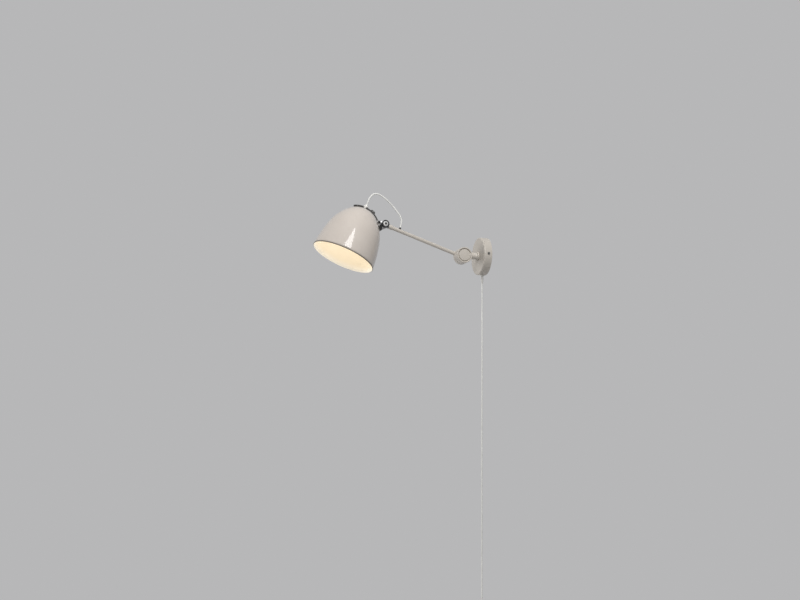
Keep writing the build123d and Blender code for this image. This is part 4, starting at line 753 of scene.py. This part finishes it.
# strap over the dome, cut from a flat outline and laid on the shade
strap = {
    "halfWidth": 8.5,
    "backCentre": -21.0,
    "padRadius": 13.5,
    "gap": 0.3,
    "thickness": 5.0,
    "edge": 0.8,
    "sharpAngle": 50.0,
    "padSteps": 40,
    "backSteps": 24,
    "crownCuts": range(-36, 45, 3),  # degrees round the crown where the plate is cut to bend
    "shoulderCuts": range(46, 60, 2),
    "sideCuts": range(-6, 7),
    "cutWidth": 2.1,
}


def domeHeight(radius, outside):  # height of a shell that lies outside the shade by this much
    crown = lamp["crownRadius"] + outside
    if radius <= crown * sinDeg(lamp["crownAngle"]):
        return crownHeight + math.sqrt(crown ** 2 - radius ** 2)
    shoulder = lamp["shoulderRadius"] + outside
    return shoulderS + math.sqrt(shoulder ** 2 - (radius - shoulderR) ** 2)


def layStrap():
    bm = bmesh.new()
    half = strap["halfWidth"]
    pad = strap["padRadius"]
    padCentre = shoulderR + lamp["shoulderRadius"] * sinDeg(lamp["jointAngle"])
    notch = math.degrees(math.asin(half / pad))
    padStart = bm.verts.new((half * mm, -pad * cosDeg(notch) * mm, 0))
    padEnd = arcFrom(bm, padStart, (0, 0, 0), (0, 0, 1), 360 - 2 * notch, strap["padSteps"])
    bmesh.ops.scale(bm, vec=(1, cosDeg(lamp["jointAngle"]), 1), verts=bm.verts)
    bmesh.ops.translate(bm, vec=(0, padCentre * mm, 0), verts=bm.verts)
    before = set(bm.verts)
    backStart = bm.verts.new((-half * mm, 0, 0))
    backEnd = arcFrom(bm, backStart, (0, 0, 0), (0, 0, 1), 180, strap["backSteps"])
    added = [v for v in bm.verts if v not in before]
    bmesh.ops.translate(bm, vec=(0, strap["backCentre"] * mm, 0), verts=added)
    bm.edges.new((padEnd, backStart))
    bm.edges.new((backEnd, padStart))
    bmesh.ops.contextual_create(bm, geom=bm.edges[:])
    cuts = [(lamp["crownRadius"] * sinDeg(a), (0, 1, 0)) for a in strap["crownCuts"]]
    cuts += [(shoulderR + lamp["shoulderRadius"] * sinDeg(a), (0, 1, 0))
             for a in strap["shoulderCuts"]]
    cuts += [(step * strap["cutWidth"], (1, 0, 0)) for step in strap["sideCuts"]]
    for distance, normal in cuts:
        bmesh.ops.bisect_plane(bm, geom=bm.verts[:] + bm.edges[:] + bm.faces[:],
                               plane_co=Vector(normal) * distance * mm, plane_no=normal,
                               dist=cutTolerance)
    for vert in bm.verts:
        vert.co.z = domeHeight(math.hypot(vert.co.x, vert.co.y) / mm, strap["gap"]) * mm
    bmesh.ops.recalc_face_normals(bm, faces=bm.faces)
    if sum(face.normal.z for face in bm.faces) < 0:
        bmesh.ops.reverse_faces(bm, faces=bm.faces)
    bm.transform(headFrame)
    return bm


strapPiece = finishMesh("shadeStrap", layStrap(), sharp=40.0)
thick = strapPiece.modifiers.new("plate", "SOLIDIFY")
thick.thickness = strap["thickness"] * mm
thick.offset = 1.0
thick.use_even_offset = True
soften = strapPiece.modifiers.new("edges", "BEVEL")
soften.width = strap["edge"] * mm
soften.segments = 3
soften.limit_method = "ANGLE"
soften.angle_limit = math.radians(strap["sharpAngle"])
dress(strapPiece, "head", ["strap_metal"], "strap_metal", "shade_strap")

strapNut = {
    "angle": 20.0,
    "outline": ((0, 63.6), (6.8, 63.6, 0.3), (6.8, 68.2, 0.9), (3.0, 68.2), (3.0, 68.9, 0.4),
                (0, 68.9)),
}
nutDir = headOut * sinDeg(strapNut["angle"]) + headUp * cosDeg(strapNut["angle"])
nutFrame = axes(rimCentre + headUp * crownHeight, sideways, nutDir)
dressTurned("strapNut", strapNut["outline"], nutFrame, "head", "chrome", "strap_nut", "small",
            corner=6, coat="satin_zinc")

grip = {
    "outline": ((2.1, 147.85), (6.0, 147.85, 0.3), (6.0, 152.25, 0.5), (4.4, 153.85, 0.5),
                (2.1, 153.85)),
    "saddle": (18.2, 7.4, 5.0),  # straddles the strap under the round nut
    "saddleMiddle": (0, -3.4, 145.8),
    "saddleEdge": 0.6,
}
gripParts = [turned(grip["outline"], headFrame, "small", True),
             softBlock(grip["saddle"], grip["saddleMiddle"], headFrame, grip["saddleEdge"])]
gripPiece = finishMesh("cordGrip", gather(gripParts))
dress(gripPiece, "head", ["white_plastic"], "white_plastic", "cord_grip")

# studio: world, floor and lamps
studio = {
    "backdrop": (0.474, 0.474, 0.480),
    "ambient": 0.14,
    "ambientColour": (1.0, 0.985, 0.965),
    "floorMiddle": (-0.02, -0.2, -1.35),  # metres
    "floorRadius": 3.2,
    "floorTone": (0.70, 0.70, 0.705),
    "floorRough": 0.9,
    "floorFade": (1.2, 3.0),  # metres from the middle where the floor melts into the backdrop
}
world = bpy.data.worlds.new("studio")
bpy.context.scene.world = world
world.use_nodes = True
sky = world.node_tree
sky.nodes.clear()
seen = sky.nodes.new("ShaderNodeBackground")
seen.inputs["Color"].default_value = (*studio["backdrop"], 1.0)
lit = sky.nodes.new("ShaderNodeBackground")
lit.inputs["Color"].default_value = (*studio["ambientColour"], 1.0)
lit.inputs["Strength"].default_value = studio["ambient"]
ray = sky.nodes.new("ShaderNodeLightPath")
shown = ray.outputs["Is Camera Ray"]  # mirrors and glass show the backdrop too
for title in ("Is Glossy Ray", "Is Transmission Ray"):
    shown = combined(sky, "MAXIMUM", shown, ray.outputs[title])
choose = sky.nodes.new("ShaderNodeMixShader")
sky.links.new(shown, choose.inputs["Fac"])
sky.links.new(lit.outputs[0], choose.inputs[1])
sky.links.new(seen.outputs[0], choose.inputs[2])
skyOut = sky.nodes.new("ShaderNodeOutputWorld")
sky.links.new(choose.outputs[0], skyOut.inputs["Surface"])

floorDisc = bmesh.new()
bmesh.ops.create_circle(floorDisc, cap_ends=True, radius=studio["floorRadius"],
                        segments=spinSteps["medium"])
bmesh.ops.translate(floorDisc, vec=studio["floorMiddle"], verts=floorDisc.verts)
floor = finishMesh("floor", floorDisc)
floorPaint = bpy.data.materials.new("floor")
floorPaint.use_nodes = True
tree = floorPaint.node_tree
floorShader = tree.nodes["Principled BSDF"]
floorShader.inputs["Base Color"].default_value = (*studio["floorTone"], 1.0)
floorShader.inputs["Roughness"].default_value = studio["floorRough"]
distance = tree.nodes.new("ShaderNodeVectorMath")
distance.operation = "LENGTH"
coords = tree.nodes.new("ShaderNodeTexCoord")
flat = tree.nodes.new("ShaderNodeMapping")
flat.inputs["Scale"].default_value = (1, 1, 0)
tree.links.new(coords.outputs["Object"], flat.inputs["Vector"])
tree.links.new(flat.outputs["Vector"], distance.inputs[0])
fade = mapped(tree, distance.outputs["Value"], *studio["floorFade"], 1.0, 0.0)
tree.links.new(fade, floorShader.inputs["Alpha"])
floor.data.materials.append(floorPaint)

# places and sizes in metres, directions from the target to the lamp, power in watts
middle = (-0.02, -0.25, 0.0)
lamps = {
    "keyLamp": {
        "target": middle, "direction": (0.55, -0.20, 0.81), "distance": 4.2, "size": 2.6,
        "power": 112.0, "colour": (1.0, 0.985, 0.965),
    },
    "frontLamp": {
        "target": middle, "direction": (-0.72, -0.69, 0.02), "distance": 4.5, "size": 3.0,
        "power": 118.0, "colour": (1.0, 0.99, 0.975),
    },
    "backLamp": {
        "target": middle, "direction": (-0.93, 0.28, 0.25), "distance": 4.5, "size": 3.0,
        "power": 50.0, "colour": (0.98, 0.99, 1.0),
    },
    # a pane seen aslant: its upper corner makes the wedge of light that runs down to the rim
    "windowLamp": {
        "target": (0.062, -0.395, 0.012), "direction": (0.8693, -0.0426, 0.4924),
        "distance": 2.608, "size": 1.344, "power": 54.0, "colour": (1.0, 1.0, 1.0),
        "turns": ((61.2, "Z"), (53.9, "X"), (45.0, "Z")), "mirrored": True,
    },
}


def softLamp(name, plan):
    data = bpy.data.lights.new(name, "AREA")
    data.shape = "RECTANGLE"
    data.size = plan["size"]
    data.size_y = plan["size"]
    data.energy = plan["power"]
    data.color = plan["colour"]
    lampObject = bpy.data.objects.new(name, data)
    back = Vector(plan["direction"]).normalized()
    across = Vector((0, 0, 1)).cross(back).normalized()
    place = Matrix((across, back.cross(across), back)).transposed().to_4x4()
    place.translation = Vector(plan["target"]) + back * plan["distance"]
    for angle, axis in plan.get("turns", ()):
        place = place @ Matrix.Rotation(math.radians(angle), 4, axis)
    lampObject.matrix_world = place
    lampObject.visible_camera = False
    lampObject.visible_glossy = plan.get("mirrored", False)
    bpy.context.scene.collection.objects.link(lampObject)


for name, plan in lamps.items():
    softLamp(name, plan)
bpy.context.scene.view_settings.view_transform = "Standard"
print("studio ready")
